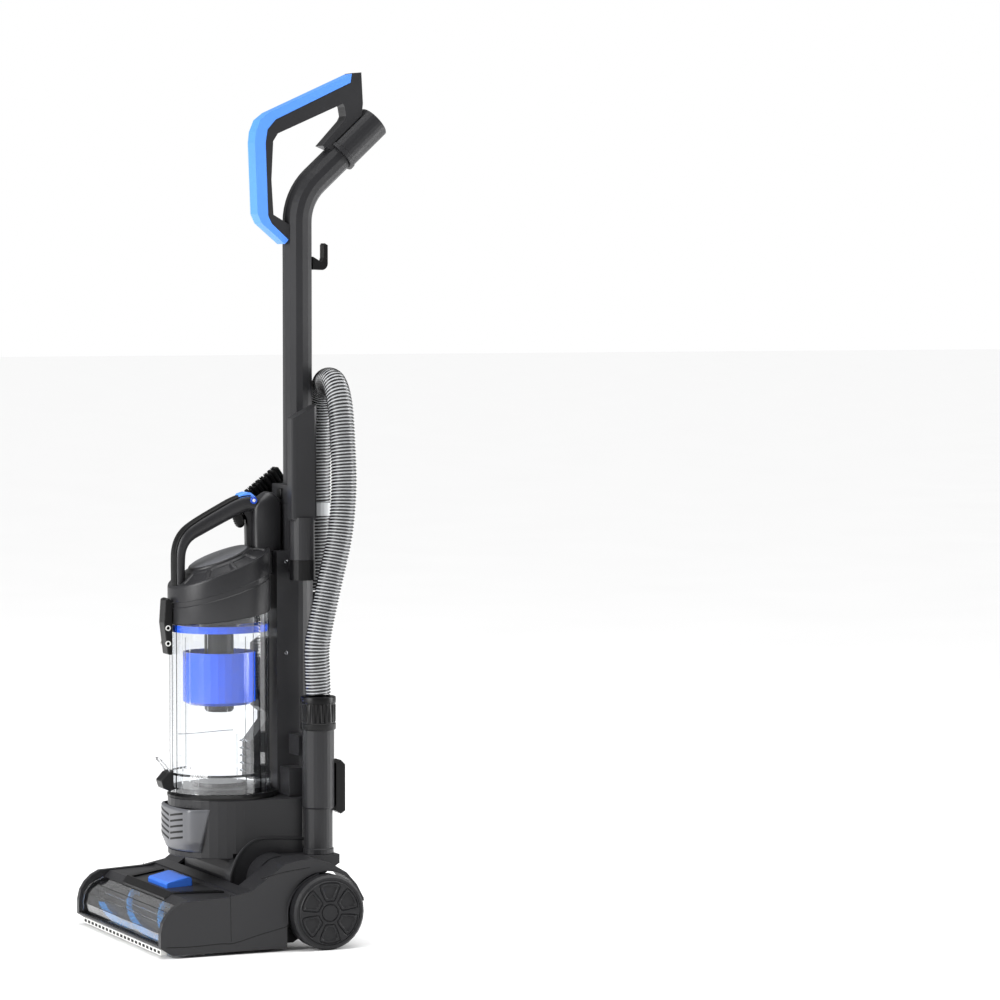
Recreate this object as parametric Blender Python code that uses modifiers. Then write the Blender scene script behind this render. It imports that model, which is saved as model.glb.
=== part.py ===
"""Lightweight bagless upright vacuum cleaner, as an assembly of separate parts.

The drawing frame has X across the machine (+X is the hose side), +Y to the rear and +Z up.
Its origin is on the floor under the rear wheels' axle.  Every part hangs from one empty that
moves the drawing so that the world origin is the middle of the assembly's footprint.
"""
import math

import bmesh
import bpy
from mathutils import Euler, Matrix, Vector

# ---- driving dimensions, in metres -------------------------------------------------------
FOOTPRINT_Y = 0.0346        # how far the drawing moves back to centre its footprint
GAP = 0.0003                # between parts that touch
STEPS = 24                  # sides of a round part

HEAD_HALF = 0.1635          # floor head, half its width
HEAD_WALL = 0.0035
RIM_INNER = 0.1545          # the side panels' rims, inner faces
ARM_INNER, ARM_OUTER = 0.116, 0.128
WHEEL_R, WHEEL_INNER, WHEEL_OUTER = 0.048, 0.150, 0.182
AXLE_Z = WHEEL_R
PIVOT = Vector((0.0, -0.040, 0.081))
TRUNNION_R = 0.016
BRUSH = Vector((0.0, -0.178, 0.030))
BRUSH_R = 0.017
ROLLER_Y, ROLLER_R = -0.085, 0.0065
PEDAL_HINGE = (0.0, -0.1660, 0.0695)
HOOK_SWIVEL = (0.0, 0.0520, 0.8725)
STRAP_HINGE = (0.0, -0.1540, 0.4370)
LATCH_HINGE = (0.0, -0.1495, 0.2180)
DOOR_HINGE = (0.0, -0.0150, 0.1915)
PULLEY_X = -0.136

BARREL_R = 0.050
HOUSING_Z0, HOUSING_Z1 = 0.108, 0.183
HOUSING_HALF = 0.0735
DUCT = Vector((0.086, 0.0225, 0.0))
DUCT_R, CUFF_R = 0.0208, 0.0230
CUFF_Z0, CUFF_Z1 = 0.272, 0.315

CUP_Y, CUP_R, CUP_WALL = -0.081, 0.0650, 0.0025
CUP_Z0 = 0.190
LID_R = 0.0665
LID_TILT = math.radians(7)
LID_JOINT_Z, LID_PIVOT_Z = 0.4150, 0.4600

SPINE_HALF, SPINE_FRONT, SPINE_ROUND_Y = 0.030, -0.012, 0.018
SPINE_Z0, SPINE_Z1 = 0.1845, 0.560
WAND_Y, WAND_R, WAND_WALL = 0.0292, 0.0192, 0.0022
WAND_Z0, WAND_SHOULDER_Z = 0.500, 0.5853
SPIGOT_R = 0.0165
BEND_Z, BEND_ANGLE, BEND_R = 0.958, math.radians(47.3), 0.075
COLLAR_R, COLLAR_BORE = 0.0222, 0.0197
HOSE_R = 0.0165

# The hose's route, from the mouth of its cuff over the back of the wand to the inlet.
HOSE_ROUTE = [
    (0.086, 0.0225, CUFF_Z1 + GAP), (0.086, 0.0215, 0.345), (0.0862, 0.022, 0.385),
    (0.0865, 0.036, 0.450), (0.0855, 0.053, 0.520), (0.082, 0.0605, 0.580),
    (0.075, 0.0620, 0.640), (0.063, 0.0630, 0.690), (0.042, 0.0635, 0.7165),
    (0.014, 0.0640, 0.7190), (-0.008, 0.0665, 0.7010), (-0.019, 0.0672, 0.660),
    (-0.021, 0.0665, 0.600), (-0.021, 0.0665, 0.540), (-0.021, 0.0665, 0.480),
    (-0.021, 0.0665, 0.4403),
]
HOSE_POINTS = 46

# What tips back with the upright and has no joint of its own.
UPRIGHT_PARTS = (
    "motor_housing cup_base_ring exhaust_grille exhaust_filter pre_motor_filter motor "
    "spine wand_socket tool_holder cord_gland hose_clip hose_inlet lower_duct hose_cuff "
    "suction_elbow lower_cord_hook hose")

# ---- scene -------------------------------------------------------------------------------
for old in list(bpy.data.objects):
    bpy.data.objects.remove(old)

parts = bpy.data.collections.new("upright_vacuum")
cutters = bpy.data.collections.new("cutters")
bpy.context.scene.collection.children.link(parts)
bpy.context.scene.collection.children.link(cutters)
frame = bpy.data.objects.new("floor_frame", None)
frame.location = (0.0, FOOTPRINT_Y, 0.0)
parts.objects.link(frame)
bpy.context.view_layer.update()


def plastic(name, colour, roughness=0.45, metallic=0.0):
    """One Principled material."""
    m = bpy.data.materials.new(name)
    m.use_nodes = True
    shader = m.node_tree.nodes["Principled BSDF"]
    shader.inputs["Base Color"].default_value = (*colour, 1.0)
    shader.inputs["Roughness"].default_value = roughness
    shader.inputs["Metallic"].default_value = metallic
    return m


CHARCOAL = (0.045, 0.045, 0.048)
BLACK = (0.012, 0.012, 0.013)
GREY = (0.13, 0.13, 0.14)
LIGHT = (0.55, 0.55, 0.56)
BLUE = (0.03, 0.13, 0.62)
GRIP_BLUE = (0.16, 0.38, 0.92)
CLEAR = (0.80, 0.83, 0.86)
SMOKE = (0.10, 0.11, 0.12)
STEEL = (0.55, 0.55, 0.57)
WHITE = (0.75, 0.75, 0.73)


# ---- modelling helpers -------------------------------------------------------------------
def add(name, mesh, colour=None, roughness=0.45, metallic=0.0, smooth=True):
    """A part, or a cutter when it has no colour, hung from the frame empty."""
    o = bpy.data.objects.new(name, mesh)
    (parts if colour else cutters).objects.link(o)
    o.parent = frame
    if colour:
        mesh.materials.clear()
        mesh.materials.append(plastic(name + "_material", colour, roughness, metallic))
        if smooth:
            mesh.shade_smooth()
            mesh.set_sharp_from_angle(angle=math.radians(35))
    else:
        o.hide_render = True
        o.display_type = "WIRE"
    return o


def solid(name, bm, **look):
    mesh = bpy.data.meshes.new(name)
    bm.to_mesh(mesh)
    bm.free()
    return add(name, mesh, **look)


def bevel(o, width, segments=2, angle=30):
    m = o.modifiers.new("round_edges", "BEVEL")
    m.width = width
    m.segments = segments
    m.limit_method = "ANGLE"
    m.angle_limit = math.radians(angle)
    m.use_clamp_overlap = True
    return o


def block(name, x, y, z, turn=None, about=None, **look):
    """A box between two limits along each axis, turned about a point if asked."""
    bm = bmesh.new()
    bmesh.ops.create_cube(bm, size=1.0)
    size = Vector((x[1] - x[0], y[1] - y[0], z[1] - z[0]))
    middle = Vector((x[0] + x[1], y[0] + y[1], z[0] + z[1])) / 2
    bm.transform(Matrix.Translation(middle) @ Matrix.Diagonal((*size, 1.0)))
    if turn:
        point = Matrix.Translation(Vector(about))
        bm.transform(point @ Euler(turn).to_matrix().to_4x4() @ point.inverted())
    return solid(name, bm, **look)


def rod(name, centre, radius, span, axis="Z", radius2=None, steps=STEPS, **look):
    """A cylinder or cone along an axis, between two positions on it."""
    bm = bmesh.new()
    bmesh.ops.create_cone(bm, cap_ends=True, segments=steps, radius1=radius,
                          radius2=radius if radius2 is None else radius2,
                          depth=span[1] - span[0])
    turn = {"X": Euler((0, math.pi / 2, 0)), "Y": Euler((-math.pi / 2, 0, 0)),
            "Z": Euler((0, 0, 0))}[axis].to_matrix().to_4x4()
    place = Vector(centre)
    place["XYZ".index(axis)] = (span[0] + span[1]) / 2
    bm.transform(Matrix.Translation(place) @ turn)
    return solid(name, bm, **look)


def turned(name, profile, centre, axis="Z", steps=STEPS, **look):
    """A closed profile of (radius, height) points, turned about an axis through centre."""
    on_axis = profile[0][0] == 0.0
    bm = bmesh.new()
    points = [bm.verts.new((r, 0.0, h)) for r, h in profile]
    for a, b in zip(points, points[1:]):
        bm.edges.new((a, b))
    if not on_axis:
        bm.edges.new((points[-1], points[0]))
    o = solid(name, bm, **look)
    m = o.modifiers.new("turn", "SCREW")
    m.steps = m.render_steps = steps
    m.use_merge_vertices = True
    m.merge_threshold = 0.00001
    turn = {"X": Euler((0, math.pi / 2, 0)), "Y": Euler((-math.pi / 2, 0, 0)),
            "Z": Euler((0, 0, 0))}[axis]
    o.rotation_euler = turn
    o.location = centre
    return o


def arc(centre, radius, start, end, count):
    """Points along an arc, angles in degrees."""
    angles = [math.radians(start + (end - start) * i / count) for i in range(count + 1)]
    return [(centre[0] + radius * math.cos(a), centre[1] + radius * math.sin(a))
            for a in angles]


def sheet_shape(name, points, span, plane="YZ", holes=(), **look):
    """A flat outline with holes, extruded along the axis that its plane leaves out."""
    curve = bpy.data.curves.new(name, "CURVE")
    curve.dimensions = "2D"
    curve.fill_mode = "BOTH"
    curve.extrude = (span[1] - span[0]) / 2
    for ring in (points, *holes):
        spline = curve.splines.new("POLY")
        spline.points.add(len(ring) - 1)
        for p, (u, v) in zip(spline.points, ring):
            p.co = (u, v, 0.0, 1.0)
        spline.use_cyclic_u = True
    guide = bpy.data.objects.new(name, curve)
    bpy.context.scene.collection.objects.link(guide)
    mesh = as_mesh(guide)
    turn = {"YZ": Matrix(((0, 0, 1, 0), (1, 0, 0, 0), (0, 1, 0, 0), (0, 0, 0, 1))),
            "XZ": Matrix(((1, 0, 0, 0), (0, 0, -1, 0), (0, 1, 0, 0), (0, 0, 0, 1))),
            "XY": Matrix.Identity(4)}[plane]
    middle = (span[0] + span[1]) / 2
    shift = {"YZ": (middle, 0, 0), "XZ": (0, middle, 0), "XY": (0, 0, middle)}[plane]
    mesh.transform(Matrix.Translation(shift) @ turn)
    return add(name, mesh, **look)


def as_mesh(guide):
    """The mesh of a curve object, its caps welded on; the curve object is removed."""
    bpy.context.view_layer.update()
    shown = guide.evaluated_get(bpy.context.evaluated_depsgraph_get())
    mesh = bpy.data.meshes.new_from_object(shown)
    bm = bmesh.new()
    bm.from_mesh(mesh)
    bmesh.ops.remove_doubles(bm, verts=bm.verts, dist=0.000001)
    bmesh.ops.recalc_face_normals(bm, faces=bm.faces)
    bm.to_mesh(mesh)
    bm.free()
    bpy.data.objects.remove(guide)
    return mesh


def pipe_mesh(name, route, radius, sides=3, caps=True):
    """The mesh of a round pipe along a list of points."""
    curve = bpy.data.curves.new(name, "CURVE")
    curve.dimensions = "3D"
    curve.bevel_depth = radius
    curve.bevel_resolution = sides
    curve.use_fill_caps = caps
    spline = curve.splines.new("POLY")
    spline.points.add(len(route) - 1)
    for p, place in zip(spline.points, route):
        p.co = (*place, 1.0)
    guide = bpy.data.objects.new(name, curve)
    bpy.context.scene.collection.objects.link(guide)
    return as_mesh(guide)


def pipe(name, route, radius, sides=3, **look):
    return add(name, pipe_mesh(name, route, radius, sides), **look)


def smooth_route(route, count):
    """Points along a Catmull-Rom curve through the route's own points."""
    p = [Vector(q) for q in route]
    p = [2 * p[0] - p[1], *p, 2 * p[-1] - p[-2]]
    found = []
    for i in range(count):
        t = i * (len(route) - 1) / (count - 1)
        k = min(int(t), len(route) - 2)
        t -= k
        a, b, c, d = p[k:k + 4]
        found.append(0.5 * (2 * b + (c - a) * t + (2 * a - 5 * b + 4 * c - d) * t * t
                            + (3 * b - 3 * c + d - a) * t ** 3))
    return found


def boolean(o, other, operation):
    m = o.modifiers.new(operation.lower(), "BOOLEAN")
    m.operation = operation
    m.object = other
    m.solver = "EXACT"
    return o


def cut(o, *others):
    for other in others:
        boolean(o, other, "DIFFERENCE")
    return o


def join(o, *others):
    for other in others:
        boolean(o, other, "UNION")
    return o


def keep(o, other):
    return boolean(o, other, "INTERSECT")


def hinge_at(o, point):
    """Moves an object's origin to a point on its joint's axis."""
    move = Vector(point) - o.location
    o.data.transform(o.rotation_euler.to_matrix().to_4x4().inverted()
                     @ Matrix.Translation(-move) @ o.rotation_euler.to_matrix().to_4x4())
    o.location = point
    return o


def hang(name, point, members):
    """Hangs parts from an empty on their joint's axis and leaves them where they are."""
    pivot = bpy.data.objects.new(name, None)
    pivot.parent, pivot.location = frame, point
    parts.objects.link(pivot)
    for member in members.split():
        o = bpy.data.objects[member]
        o.parent = pivot
        o.location -= Vector(point)


# ---- floor head --------------------------------------------------------------------------
def head_profile(inset=0.0):
    """Side outline of the floor head's cover, front bulge to the rear fenders."""
    d = inset
    low = 0.004 if inset == 0.0 else -0.02
    return [(-0.206 + d, low), (-0.2215 + d, 0.014), (-0.2215 + d, 0.033),
            (-0.2185 + d, 0.046 - d / 2), (-0.212 + d, 0.0565 - d / 2),
            (-0.203 + d * 0.7, 0.0650 - d * 0.7), (-0.192 + d / 2, 0.0705 - d),
            (-0.130, 0.0735 - d), (-0.098, 0.0800 - d), (-0.070, 0.1000 - d),
            (-0.054, 0.1110 - d), (-0.034, 0.1150 - d), (-0.012, 0.1150 - d),
            (0.010, 0.1080 - d), (0.030, 0.0960 - d), (0.044, 0.0800 - d),
            (0.0535 - d, 0.0620 - d / 2), (0.0545 - d, 0.0560), (0.0545 - d, low)]


def floor_head():
    cover = sheet_shape("nozzle_cover", head_profile(), (-HEAD_HALF, HEAD_HALF), colour=CHARCOAL)
    inside = HEAD_HALF - HEAD_WALL
    cut(cover, sheet_shape("cover_inside", head_profile(HEAD_WALL), (-inside, inside)))
    cut(cover, block("cover_slot", (-0.1125, 0.1125), (-0.098, 0.1), (-0.01, 0.2)))
    for side in (-1, 1):
        x = sorted((side * 0.14, side * 0.17))
        cut(cover, rod(f"cover_wheel_well_{side}", (0, 0, AXLE_Z), 0.0515, x, "X"))
        cut(cover, block(f"cover_wheel_below_{side}", x, (-0.0515, 0.1), (-0.01, AXLE_Z)))
    cut(cover, block("cover_behind_wheels", (-0.2, 0.2), (0.030, 0.1), (-0.01, 0.058)))
    # In front of the motor the middle is lower than the two side panels and their rims.
    cut(cover, block("cover_front_opening", (-RIM_INNER, RIM_INNER), (-0.3, -0.1150),
                     (0.016, 0.2)))
    rims = sheet_shape("cover_rims", head_profile(), (-inside - 0.0010, inside + 0.0010))
    cut(rims, sheet_shape("rims_inside", head_profile(0.0090), (-0.17, 0.17)))
    cut(rims, block("rims_middle", (-RIM_INNER, RIM_INNER), (-0.3, 0.2), (-0.1, 0.2)))
    cut(rims, block("rims_rear", (-0.2, 0.2), (-0.1120, 0.2), (-0.1, 0.2)))
    cut(rims, block("rims_low", (-0.2, 0.2), (-0.3, 0.2), (-0.1, 0.0165)))
    join(cover, rims)
    deck = [(-0.1868, 0.0620), (-0.1780, 0.0700), (-0.1190, 0.0722), (-0.1120, 0.0760),
            (-0.1120, 0.0725), (-0.1180, 0.0692), (-0.1760, 0.0670), (-0.1868, 0.0590)]
    join(cover, sheet_shape("cover_deck", deck, (-RIM_INNER - 0.0020, RIM_INNER + 0.0020)))
    cut(cover, block("cover_pedal_opening", (-0.0365, 0.0365), (-0.1685, -0.1310), (0.05, 0.1)))

    glass = [(-0.2150, 0.0163), (-0.2165, 0.0300), (-0.2135, 0.0430), (-0.2085, 0.0505),
             (-0.2025, 0.0555), (-0.1872, 0.0618), (-0.1872, 0.0592), (-0.2015, 0.0532),
             (-0.2065, 0.0488), (-0.2111, 0.0420), (-0.2140, 0.0300), (-0.2125, 0.0163)]
    sheet_shape("nozzle_window", glass, (GAP - RIM_INNER, RIM_INNER - GAP), colour=SMOKE,
                roughness=0.1)

    tray = block("nozzle_base", (-0.1590, 0.1590), (-0.2035, -0.045), (0.004, 0.012), colour=BLACK)
    cut(tray, block("brush_mouth", (-0.1425, 0.1425), (-0.2010, -0.1480), (-0.01, 0.03)))
    cut(tray, *(block(f"tray_corner_{s}", sorted((s * 0.1285, s * 0.17)), (-0.09, 0.0),
                      (-0.01, 0.03)) for s in (-1, 1)))
    arm = [(-0.110, 0.0045), (-0.030, 0.0045), (0.016, 0.030), (0.018, 0.058), (-0.006, 0.0985),
           *arc((PIVOT.y, PIVOT.z), 0.0272, 30, 150, 8), (-0.095, 0.040)]
    for side in (-1, 1):
        x = sorted((side * ARM_INNER, side * ARM_OUTER))
        join(tray, sheet_shape(f"arm_{side}", arm, x))
        join(tray, rod(f"axle_boss_{side}", (0, 0, AXLE_Z), 0.012,
                       sorted((side * 0.120, side * 0.143)), "X", steps=20))
        cut(tray, rod(f"axle_hole_{side}", (0, 0, AXLE_Z), 0.0043,
                      sorted((side * 0.132, side * 0.16)), "X", steps=16))
        cut(tray, rod(f"trunnion_hole_{side}", PIVOT, TRUNNION_R + 0.0004,
                      sorted((side * 0.11, side * 0.14)), "X"))
        join(tray, block(f"bearing_seat_{side}", sorted((side * 0.1420, side * 0.1590)),
                         (-0.2035, -0.1480), (0.004, 0.0135)))
    for side, word in ((-1, "left"), (1, "right")):
        bearing = block(f"brush_bearing_{word}", sorted((side * 0.1465, side * 0.1585)),
                        (-0.192, -0.164), (0.0138, 0.0540), colour=GREY)
        bevel(bearing, 0.004)
        cut(bearing, rod(f"bearing_bore_{side}", BRUSH, 0.0049,
                         sorted((side * 0.14, side * 0.17)), "X", steps=20))
        rod(f"wheel_axle_{word}", (0, 0, AXLE_Z), 0.0040,
            sorted((side * 0.1323, side * 0.1805)), "X", steps=20, colour=STEEL,
            roughness=0.3, metallic=1.0)

    block("front_bumper", (-0.150, 0.150), (-0.2165, -0.2085), (0.0035, 0.0100), colour=WHITE)
    block("rear_squeegee", (-0.130, 0.130), (-0.1420, -0.1385), (0.0012, 0.0037), colour=BLACK,
          roughness=0.8)
    # The dark frame round the deck: a plan outline, kept to a thin layer on the deck.
    plan = [(-0.0800, -0.1867), (0.0800, -0.1867), (0.1180, -0.1196), (0.1060, -0.1196),
            (0.0740, -0.1765), (-0.0740, -0.1765), (-0.1060, -0.1196), (-0.1180, -0.1196)]
    trim = sheet_shape("window_trim", plan, (0.05, 0.10), "XY", colour=BLACK)
    layer = [(-0.1880, 0.0612), (-0.1780, 0.0703), (-0.1150, 0.0727), (-0.1150, 0.0747),
             (-0.1785, 0.0724), (-0.1895, 0.0624)]
    keep(trim, sheet_shape("trim_layer", layer, (-0.15, 0.15)))
    return tray


def brush_roll():
    """The powered roll: a core with two helical bristle ribs."""
    roll = rod("brush_roll", BRUSH, BRUSH_R, (-0.1405, 0.1405), "X", steps=22, colour=BLUE)
    join(roll, rod("roll_spindle", BRUSH, 0.0044, (-0.1560, 0.1560), "X", steps=16))
    cut(roll, turned("belt_groove", [(0.0150, 0.0045), (0.03, 0.0045), (0.03, -0.0045),
                                     (0.0150, -0.0045)],
                     (PULLEY_X, BRUSH.y, BRUSH.z), "X", steps=24))
    for k, first in enumerate((0.0, math.pi)):
        route = []
        for i in range(21):
            x = -0.1237 + 0.2551 * i / 20
            turn = first + math.radians(200) * x / 0.13 + 0.07
            r = BRUSH_R + 0.0042
            route.append((x, BRUSH.y + r * math.cos(turn), BRUSH.z + r * math.sin(turn)))
        join(roll, add(f"bristle_rib_{k}", pipe_mesh("rib", route, 0.0045, 1)))
    hinge_at(roll, BRUSH)


def wheels():
    for side, word in ((-1, "left"), (1, "right")):
        inner, outer = side * WHEEL_INNER, side * (WHEEL_OUTER - 0.002)
        wheel = rod(f"wheel_{word}", (0, 0, AXLE_Z), WHEEL_R, sorted((inner, outer)), "X",
                    steps=32, colour=BLACK, roughness=0.6)
        bevel(wheel, 0.003, 1, 50)
        cut(wheel, rod(f"wheel_bore_{side}", (0, 0, AXLE_Z), 0.0041,
                       sorted((side * 0.14, side * 0.19)), "X", steps=20))
        cut(wheel, rod(f"wheel_dish_{side}", (0, 0, AXLE_Z), 0.0418,
                       sorted((side * (WHEEL_OUTER - 0.0045), side * 0.2)), "X", steps=32))
        hinge_at(wheel, (0, 0, AXLE_Z))
        cap = turned(f"hub_cap_{word}", [(0.0, 0.0042), (0.030, 0.0042), (0.0405, 0.0025),
                                         (0.0412, 0.0), (0.0, 0.0)],
                     (side * (WHEEL_OUTER - 0.0042), 0, AXLE_Z), "X", steps=32, colour=GREY)
        if side < 0:
            cap.rotation_euler = (0, -math.pi / 2, 0)
        for i in range(6):
            turn = math.radians(60 * i + 30)
            y, z = 0.022 * math.cos(turn), 0.022 * math.sin(turn)
            petal = rod(f"petal_{word}_{i}", (0, y, AXLE_Z + z), 0.0072,
                        sorted((side * (WHEEL_OUTER - 0.0018), side * 0.2)), "X", steps=8)
            cut(cap, petal)
        cut(cap, rod(f"cap_bore_{side}", (0, 0, AXLE_Z), 0.0041,
                     sorted((side * 0.14, side * 0.181)), "X", steps=20))
    for side, word in ((-1, "left"), (1, "right")):
        roller = rod(f"front_roller_{word}", (0, ROLLER_Y, ROLLER_R), ROLLER_R,
                     sorted((side * 0.0850, side * 0.1010)), "X", steps=20, colour=BLACK)
        hinge_at(roller, (0, ROLLER_Y, ROLLER_R))


def roller_pockets(tray):
    """Each small roller turns in a pocket of the base plate."""
    for side in (-1, 1):
        cut(tray, block(f"roller_pocket_{side}", sorted((side * 0.0840, side * 0.1020)),
                        (ROLLER_Y - 0.0075, ROLLER_Y + 0.0075), (-0.01, 0.02)))


def pedal():
    shape = [(-0.1675, 0.0680), (-0.1675, 0.0755), (-0.1650, 0.0775), (-0.1400, 0.0830),
             (-0.1340, 0.0825), (-0.1320, 0.0800), (-0.1320, 0.0710)]
    o = sheet_shape("release_pedal", shape, (-0.0355, 0.0355), colour=BLUE, roughness=0.35)
    bevel(o, 0.0012, 2)
    return hinge_at(o, PEDAL_HINGE)


def drive():
    """Motor, fan and belt drive: the motor's shaft lies on the recline pivot."""
    motor = rod("motor", PIVOT, 0.0390, (-0.056, 0.040), "X", steps=20, colour=STEEL,
                roughness=0.35, metallic=1.0)
    join(motor, rod("motor_nose", PIVOT, 0.012, (0.035, 0.0480), "X", steps=20))
    cut(motor, rod("motor_bore", PIVOT, 0.0034, (-0.06, 0.030), "X", steps=16))
    shaft = rod("motor_shaft", PIVOT, 0.0030, (-0.1415, 0.028), "X", steps=16, colour=STEEL,
                roughness=0.3, metallic=1.0)
    join(shaft, rod("pulley_body", PIVOT, 0.0075, (-0.1400, -0.1320), "X", steps=20))
    fan = rod("motor_fan", PIVOT, 0.0400, (-0.0840, -0.0800), "X", steps=20, colour=LIGHT)
    for i in range(8):
        blade = block(f"blade_{i}", (-0.081, -0.066), (PIVOT.y + 0.010, PIVOT.y + 0.038),
                      (PIVOT.z - 0.001, PIVOT.z + 0.001), (i * math.pi / 4, 0, 0), PIVOT)
        join(fan, blade)
    join(fan, rod("fan_hub", PIVOT, 0.0120, (-0.081, -0.064), "X", steps=20))
    cut(fan, rod("fan_bore", PIVOT, 0.0033, (-0.09, -0.05), "X", steps=16))
    hinge_at(shaft, PIVOT)
    hinge_at(fan, PIVOT)

    # The belt wraps both pulleys: two arcs and the straight runs that touch them.
    small, large = 0.0078, 0.0153
    ends = Vector((BRUSH.y - PIVOT.y, BRUSH.z - PIVOT.z))
    lie = math.degrees(math.atan2(ends.y, ends.x))
    spread = math.degrees(math.asin((large - small) / ends.length))
    rings = []
    for extra in (0.0018, 0.0):
        near = arc((PIVOT.y, PIVOT.z), small + extra, lie + 90 + spread, lie + 270 - spread, 10)
        far = arc((BRUSH.y, BRUSH.z), large + extra, lie - 90 - spread, lie + 90 + spread, 14)
        rings.append(near + far)
    sheet_shape("drive_belt", rings[0], (-0.1390, -0.1330), holes=[rings[1]], colour=BLACK,
                roughness=0.8)


# ---- upright body ------------------------------------------------------------------------
def housing_outline(inset=0.0):
    r = HOUSING_HALF - inset
    front = arc((0.0, -0.0745), r, 180, 360, 20)
    rear = arc((r - 0.016, 0.004 - inset), 0.016, 0, 90, 4)
    return front + rear + [(-x, y) for x, y in reversed(rear)]


def motor_housing():
    body = sheet_shape("motor_housing", housing_outline(), (HOUSING_Z0, HOUSING_Z1), "XY",
                       colour=CHARCOAL)
    bevel(body, 0.007, 2, 60)
    join(body, rod("barrel", PIVOT, BARREL_R, (-0.1080, 0.0580), "X", steps=32))
    join(body, rod("trunnion_left", PIVOT, TRUNNION_R, (-0.1275, -0.1060), "X", steps=28))
    cut(body, rod("barrel_bore", PIVOT, 0.0430, (-0.1020, 0.0480), "X", steps=24))
    cut(body, rod("shaft_way", PIVOT, 0.0060, (-0.14, -0.09), "X", steps=20))
    cut(body, block("air_way_up", (-0.030, 0.030), (-0.075, -0.015), (0.100, 0.168)))
    cut(body, rod("duct_way", DUCT, DUCT_R + 0.0008, (0.0, 0.3)))
    cut(body, block("elbow_way", (0.0612, 0.2), (-0.09, 0.06), (0.0, 0.1146)))
    cut(body, rod("filter_well", (0, CUP_Y + 0.006, 0), 0.0550, (0.1600, 0.2), "Z"))
    cut(body, block("exhaust_pocket", (-0.045, 0.045), (-0.150, -0.108), (0.120, 0.1545)))
    cut(body, block("exhaust_way", (-0.030, 0.030), (-0.110, -0.060), (0.124, 0.150)))
    cut(body, block("grille_seat", (-0.0470, 0.0470), (-0.160, -0.1330), (0.1150, 0.1720)))
    ring = turned("cup_base_ring", [(0.0600, 0.0), (0.0700, 0.0), (0.0725, -0.0035),
                             (0.0725, -0.0062), (0.0600, -0.0062)],
           (0, CUP_Y + 0.0045, HOUSING_Z1 + 0.0065), steps=32, colour=BLACK)
    cut(ring, block("ring_spine_clear", (-0.1, 0.1), (SPINE_FRONT - GAP, 0.1), (0.1, 0.2)))

    grille_out = [(-0.0465, -0.1334), *arc((0, -0.0985), 0.0640, 227, 313, 10),
                  (0.0465, -0.1334)]
    grille = sheet_shape("exhaust_grille", grille_out, (0.1155, 0.1715), "XY", colour=GREY)
    bevel(grille, 0.002, 1, 60)
    back = [(-0.0420, -0.120), *arc((0, -0.0985), 0.0605, 226, 314, 10), (0.0420, -0.120)]
    cut(grille, sheet_shape("grille_back", back, (0.1210, 0.1660), "XY"))
    for row in range(5):
        z = 0.1270 + 0.0078 * row
        vee = [(-0.030, z + 0.0045), (0.0, z - 0.0020), (0.030, z + 0.0045),
               (0.030, z + 0.0080), (0.0, z + 0.0015), (-0.030, z + 0.0080)]
        cut(grille, sheet_shape(f"grille_slot_{row}", vee, (-0.17, -0.12), "XZ"))
    bevel(block("exhaust_filter", (-0.0440, 0.0440), (-0.1320, -0.1090), (0.1210, 0.1535),
                colour=WHITE, roughness=0.9), 0.001, 1)
    rod("pre_motor_filter", (0, CUP_Y + 0.006, 0), 0.0540, (0.1603, 0.1815), "Z",
        colour=BLUE, roughness=0.95)
    return body


def spine():
    """The column behind the cup that carries the wand, the hose's ends and the tools."""
    r, y0 = SPINE_HALF, SPINE_ROUND_Y
    outline = [(-r, SPINE_FRONT), (r, SPINE_FRONT), *arc((0, y0), r, 0, 180, 14)]
    column = sheet_shape("spine", outline, (SPINE_Z0, SPINE_Z1), "XY", colour=CHARCOAL)
    cut(column, block("spine_shoulder", (-0.05, 0.05), (-0.03, 0.0045), (0.500, 0.6)))
    cut(column, rod("wand_socket_bore", (0, WAND_Y, 0), SPIGOT_R + 0.0004, (WAND_Z0 - 0.0005, 0.7)))
    cut(column, rod("air_riser", (0, 0.0240, 0), 0.0130, (0.2, WAND_Z0 + 0.010)))
    foot = block("spine_foot", (-0.062, 0.062), (-0.0080, 0.0150), (0.1835, 0.2200))
    join(column, foot)
    # Branches: hose inlet boss, tool holder arm, duct bracket, dusting-brush peg.
    join(column, block("inlet_boss", (-0.028, -0.004), (0.030, 0.0482), (0.396, 0.424)))
    join(column, block("duct_bracket", (0.020, 0.0645), (0.004, 0.020), (0.236, 0.262)))
    cut(column, rod("duct_clearance", DUCT, DUCT_R + GAP, (0.1, 0.3)))
    join(column, block("holder_arm", (0.020, 0.0478), (0.004, 0.018), (0.4720, 0.4860)))
    join(column, block("brush_peg", (-0.0440, -0.020), (0.000, 0.010), (0.4900, 0.5000)))
    cut(column, block("gland_seat", (-0.0062, 0.0062), (0.0380, 0.06), (0.2480, 0.2620)))
    cut(column, block("switch_seat", (-0.0092, 0.0092), (0.0380, 0.06), (0.2080, 0.2240)))
    return column


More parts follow.
